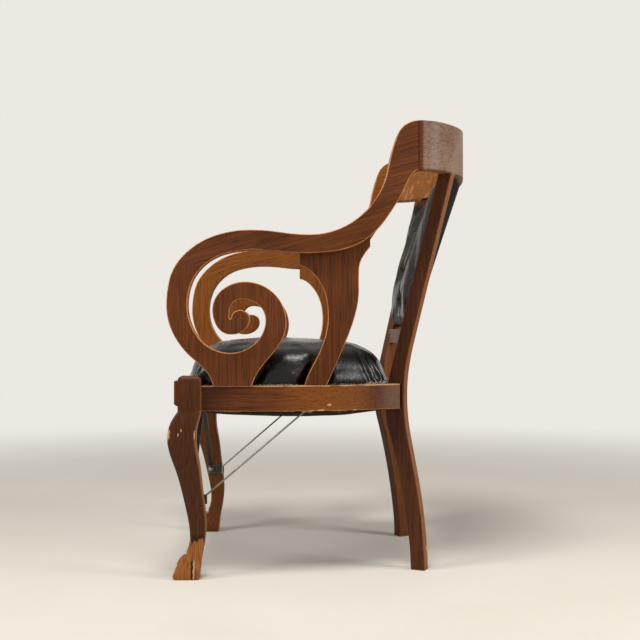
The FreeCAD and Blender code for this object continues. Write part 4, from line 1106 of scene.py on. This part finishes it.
LINING_BACK = PAD_THICK + 0.0013
LINING_THICK = 0.0012
LINING_ROWS, LINING_COLUMNS = 40, 41
lining_points = []
for z in np.linspace(PAD_LOW, PAD_HIGH, LINING_ROWS):
    edge = post_point(post_front(z) + LINING_BACK, PAD_SIDE)
    lining_points += [(x, y, z) for x, y in pad_bow(edge, z, LINING_COLUMNS)]
lining_faces = net_faces(LINING_ROWS, LINING_COLUMNS, False)
lining = thin_sheet("back_lining_cloth", lining_points, lining_faces, back_cloth, LINING_THICK)
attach(lining, "root")
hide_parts("back_lining")
rows_of = np.array(lining_points).reshape(LINING_ROWS, LINING_COLUMNS, 3)
lining_width = float(np.linalg.norm(np.diff(rows_of, axis=1), axis=2).sum(axis=1).max())
lining_length = float(np.linalg.norm(np.diff(rows_of, axis=0), axis=2).sum(axis=0).max())
print("sheets: dust %.3f x %.3f m, hessian %.3f x %.3f m, lining %.3f x %.3f m"
      % (*dust_flat, *hessian_flat, lining_width, lining_length))

# %% [markdown]
# ## Webbing
# Straps of jute webbing cross under the springs, over and under each other. The CAD straps are flat
# bars, so here each strap is a ribbon that waves over its neighbours.

# %% Webbing straps
STRAP_XS = (-0.124, -0.044, 0.044, 0.124)
STRAP_YS = (-0.215, -0.090, 0.035)
STRAP_HALF = 0.023
STRAP_LEVEL = 0.3860
STRAP_WAVE = 0.0010
STRAP_HUMP = 0.034
STRAP_THICK = 0.0016
STRAP_STEP = 0.006
STRAP_ACROSS = (-1, -0.5, 0, 0.5, 1)
LONG_STRAP = (-0.313, 0.1726)
SIDE_REACH = (0.279, 0.277, 0.262)
strap_vertices, strap_faces = [], []


def add_strap(x, y, wave, across):
    """A ribbon along places that a wave lifts and lowers."""
    path = np.stack(np.broadcast_arrays(x, y, STRAP_LEVEL + wave), axis=1)
    strap_faces.extend(net_faces(len(path), len(STRAP_ACROSS), False, len(strap_vertices)))
    for point in path:
        strap_vertices.extend(point + np.array(across) * (side * STRAP_HALF) for side in STRAP_ACROSS)


def over_and_under(places, crossings, first):
    """Up over one crossing strap and down under the next."""
    humps = [np.exp(-((places - middle) / STRAP_HUMP) ** 2) for middle in crossings]
    return STRAP_WAVE * sum((-1) ** (first + i) * hump for i, hump in enumerate(humps))


for column, x in enumerate(STRAP_XS):
    ys = np.arange(*LONG_STRAP, STRAP_STEP)
    add_strap(x, ys, over_and_under(ys, STRAP_YS, column), (1, 0, 0))
for row, (y, reach) in enumerate(zip(STRAP_YS, SIDE_REACH)):
    xs = np.arange(-reach, reach + STRAP_STEP / 2, STRAP_STEP)
    add_strap(xs, y, -over_and_under(xs, STRAP_XS, row), (0, 1, 0))
straps = thin_sheet("webbing_straps", strap_vertices, strap_faces, webbing_cloth, STRAP_THICK)
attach(straps, "root")
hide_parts("seat_webbing")
print("webbing:", len(STRAP_XS) + len(STRAP_YS), "straps")

# %% [markdown]
# ## Tacks and frayed wadding
# Round tacks hold the cloth under the seat, and the leather's hem has worn through in places, so that
# cotton shows as short pale threads along the rail. Geometry Nodes walks along the cloth's edge and sets
# tacks at even steps. The threads' roots are worked out here, and seeded chance turns and sizes each one.

# %% Tacks under the seat
TACK_PROFILE = ((0.0009, 0.0), (0.0034, 0.0), (0.0033, 0.0006), (0.0022, 0.0014), (0.0006, 0.0017))
TACK_SIDES = 10
TACK_EDGE = 0.0055
TACK_SPACING = 0.036
TACK_LEVEL = CLOTH_TOP - 0.0022
toward_middle = cloth_middle - cloth_outline
toward_middle /= np.linalg.norm(toward_middle, axis=1, keepdims=True)
tack_line = [(x, y, TACK_LEVEL) for x, y in cloth_outline + toward_middle * TACK_EDGE]
tack_edges = [(i, (i + 1) % len(tack_line)) for i in range(len(tack_line))]
tacks = mesh_piece("cloth_tacks", tack_line, tack_edges)


def along_edge(tree, points, spacing):
    """Each tack hangs head down, one spacing from the last."""
    line = tree.node("GeometryNodeMeshToCurve", None, {0: points})
    stations = tree.node("GeometryNodeResampleCurve", {"mode": "LENGTH"}, {"Curve": line, "Length": spacing})
    return {"Points": stations, "Rotation": (math.pi, 0.0, 0.0)}


tack_form = lathe("tack_form", upright(TACK_PROFILE), TACK_SIDES, dark_iron)
repeat(tacks, tack_form, dark_iron, "Spacing", "Float", TACK_SPACING, along_edge)
smooth_shade(tacks)
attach(tacks, "root")
print("tacks:", len(tacks.data.polygons), "faces")

# %% Frayed wadding along the hem
THREAD_BENDS = ((0.0, 0.0, 0.0), (0.0008, 0.0004, 0.0022), (0.0020, -0.0002, 0.0040),
                (0.0040, 0.0006, 0.0050))
THREAD_THICK = (0.00045, 0.0004, 0.0003, 0.0001)
THREAD_SIDES = 4
THREAD_SEED = 4
THREAD_SWING = ((-0.3, -0.3, -1.6), (0.3, 0.9, 1.6))
THREAD_SIZES = (0.6, 1.7)

# Each row: where a worn stretch of the left hem starts and ends, its count of threads and their size
WORN_STRETCHES = ((0.100, 0.160, 70, 1.0), (0.012, 0.095, 44, 0.6), (-0.160, -0.050, 80, 0.5),
                  (-0.282, -0.262, 10, 0.7))
HEM_SIDE = 0.12
HEM_LIFT = 0.0004
TORN_CORNER = (0.005, 0.020)
TORN_CORNER_THREADS = 14
TORN_CORNER_SIZE = 0.9
TORN_CORNER_IN, TORN_CORNER_LIFT = 0.004, 0.0015
rim = clear_of_wood(seat_ring(0.0, SEAT_BASE + HEM_LIFT))
fray_points, fray_sizes, fray_turns = [], [], []
for start_y, end_y, count, size in WORN_STRETCHES:
    stretch = rim[(rim[:, 1] > start_y) & (rim[:, 1] < end_y) & (rim[:, 0] > HEM_SIDE)]
    stretch = stretch[np.argsort(stretch[:, 1])]
    for at in np.linspace(0, len(stretch) - 1, count):
        fray_points.append([np.interp(at, range(len(stretch)), stretch[:, axis]) for axis in range(3)])
        fray_sizes.append(size)
        fray_turns.append((0.0, 0.0, 0.0))
for at in np.linspace(*TORN_CORNER, TORN_CORNER_THREADS):
    x, y = post_point(post_front(PAD_LOW) + at, PAD_SIDE - TORN_CORNER_IN)
    fray_points.append([x, y, PAD_LOW + TORN_CORNER_LIFT])
    fray_sizes.append(TORN_CORNER_SIZE)
    fray_turns.append((math.pi, 0.0, 0.0))
fray = mesh_piece("frayed_hem", fray_points)
remember(fray, "thread_size", "FLOAT", fray_sizes)
remember(fray, "thread_turn", "FLOAT_VECTOR", fray_turns)


def frayed(tree, points, seed):
    """Each thread has a turn and a size by chance, on top of what its point remembers."""
    low, high = THREAD_SWING
    short, long = THREAD_SIZES
    swing = tree.node("FunctionNodeRandomValue", {"data_type": "FLOAT_VECTOR"},
                      {0: low, 1: high, "Seed": seed})
    vary = tree.node("FunctionNodeRandomValue", {"data_type": "FLOAT"},
                     {2: short, 3: long, "Seed": seed + 1}, output=1)
    turn = tree.vector("ADD", swing, stored(tree, "thread_turn", "FLOAT_VECTOR"))
    return {"Rotation": turn, "Scale": vary * stored(tree, "thread_size", "FLOAT")}


thread_form = lathe("thread_form", zip(THREAD_BENDS, THREAD_THICK), THREAD_SIDES, cotton)
repeat(fray, thread_form, cotton, "Seed", "Int", THREAD_SEED, frayed)
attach(fray, "root")
print("frayed threads:", len(fray_points))

# %% [markdown]
# ## Floor and light
# The floor is plain and pale, and it fades into the background for the camera, so that no horizon cuts the
# picture. As in the picture, a large lamp stands to the front left and another hangs almost overhead, so
# that the arms shade what is under them. A lamp behind lights the rear edges. The world is dim for the
# object and pale for the camera and for reflections, which Light Path can tell apart.

# %% Floor
FLOOR_SIDE = 30.0
FADE_START, FADE_END = 0.9, 4.0
FLOOR_DULL, FLOOR_PALE = tone(200, 192, 180), tone(218, 211, 200)
BACKGROUND = tone(236, 232, 226)
stone, ground, place = new_finish("pale_floor")
speckle = mottle(place, 60, 4)
cloudy = mottle(place, 2.5, 3)
plain = ground.node("ShaderNodeBsdfPrincipled", None, {
    "Base Color": tint(ground, FLOOR_DULL, FLOOR_PALE, cloudy * 0.7 + speckle * 0.3),
    "Roughness": 0.7 + speckle * 0.2})
far = ground.vector("LENGTH", place, output="Value")
fade = step(far, FADE_START, FADE_END) * ground.node("ShaderNodeLightPath", output="Is Camera Ray")
glow = ground.node("ShaderNodeEmission", None, {"Color": BACKGROUND, "Strength": 1.0})
ground.node("ShaderNodeOutputMaterial", None, {
    "Surface": ground.node("ShaderNodeMixShader", None, {0: fade, 1: plain, 2: glow})})
half = FLOOR_SIDE / 2
corners = [(-half, -half, 0), (half, -half, 0), (half, half, 0), (-half, half, 0)]
floor = new_piece("floor", corners, [(0, 1, 2, 3)], stone)
print("floor: %.0f m square" % FLOOR_SIDE)

# %% Light
# Each row: name, place, aim, width, power
LAMPS = (("front_left_lamp", (1.4, -2.6, 2.1), (0.0, -0.1, 0.7), 1.5, 54),
         ("ceiling_lamp", (1.0, -0.2, 3.1), (0.1, 0.0, 0.5), 0.9, 62),
         ("rear_lamp", (1.15, 2.45, 1.6), (0.0, 0.1, 0.6), 1.2, 46))
DIM_TONE, DIM_STRENGTH = (1.0, 0.98, 0.95, 1.0), 0.24
for name, place, aim, width, power in LAMPS:
    data = bpy.data.lights.new(name, "AREA")
    data.shape = "DISK"
    data.size = width
    data.energy = power
    lamp = bpy.data.objects.new(name, data)
    lamp.location = place
    lamp.rotation_euler = (Vector(aim) - Vector(place)).to_track_quat("-Z", "Y").to_euler()
    scene.collection.objects.link(lamp)

world = bpy.data.worlds.new("pale_room")
scene.world = world
world.use_nodes = True
world.node_tree.nodes.clear()
room = Tree(world.node_tree)
ray = room.node("ShaderNodeLightPath", output="Is Camera Ray")
seen = ray.math("MAXIMUM", ray, ray.math("MAXIMUM", ray.out("Is Glossy Ray"), ray.out("Is Transmission Ray")))
dim = room.node("ShaderNodeBackground", None, {"Color": DIM_TONE, "Strength": DIM_STRENGTH})
pale = room.node("ShaderNodeBackground", None, {"Color": BACKGROUND, "Strength": 1.0})
sky = room.node("ShaderNodeMixShader", None, {0: seen, 1: dim, 2: pale})
room.node("ShaderNodeOutputWorld", None, {"Surface": sky})
scene.view_settings.view_transform = "Standard"
print("lamps:", len(LAMPS))
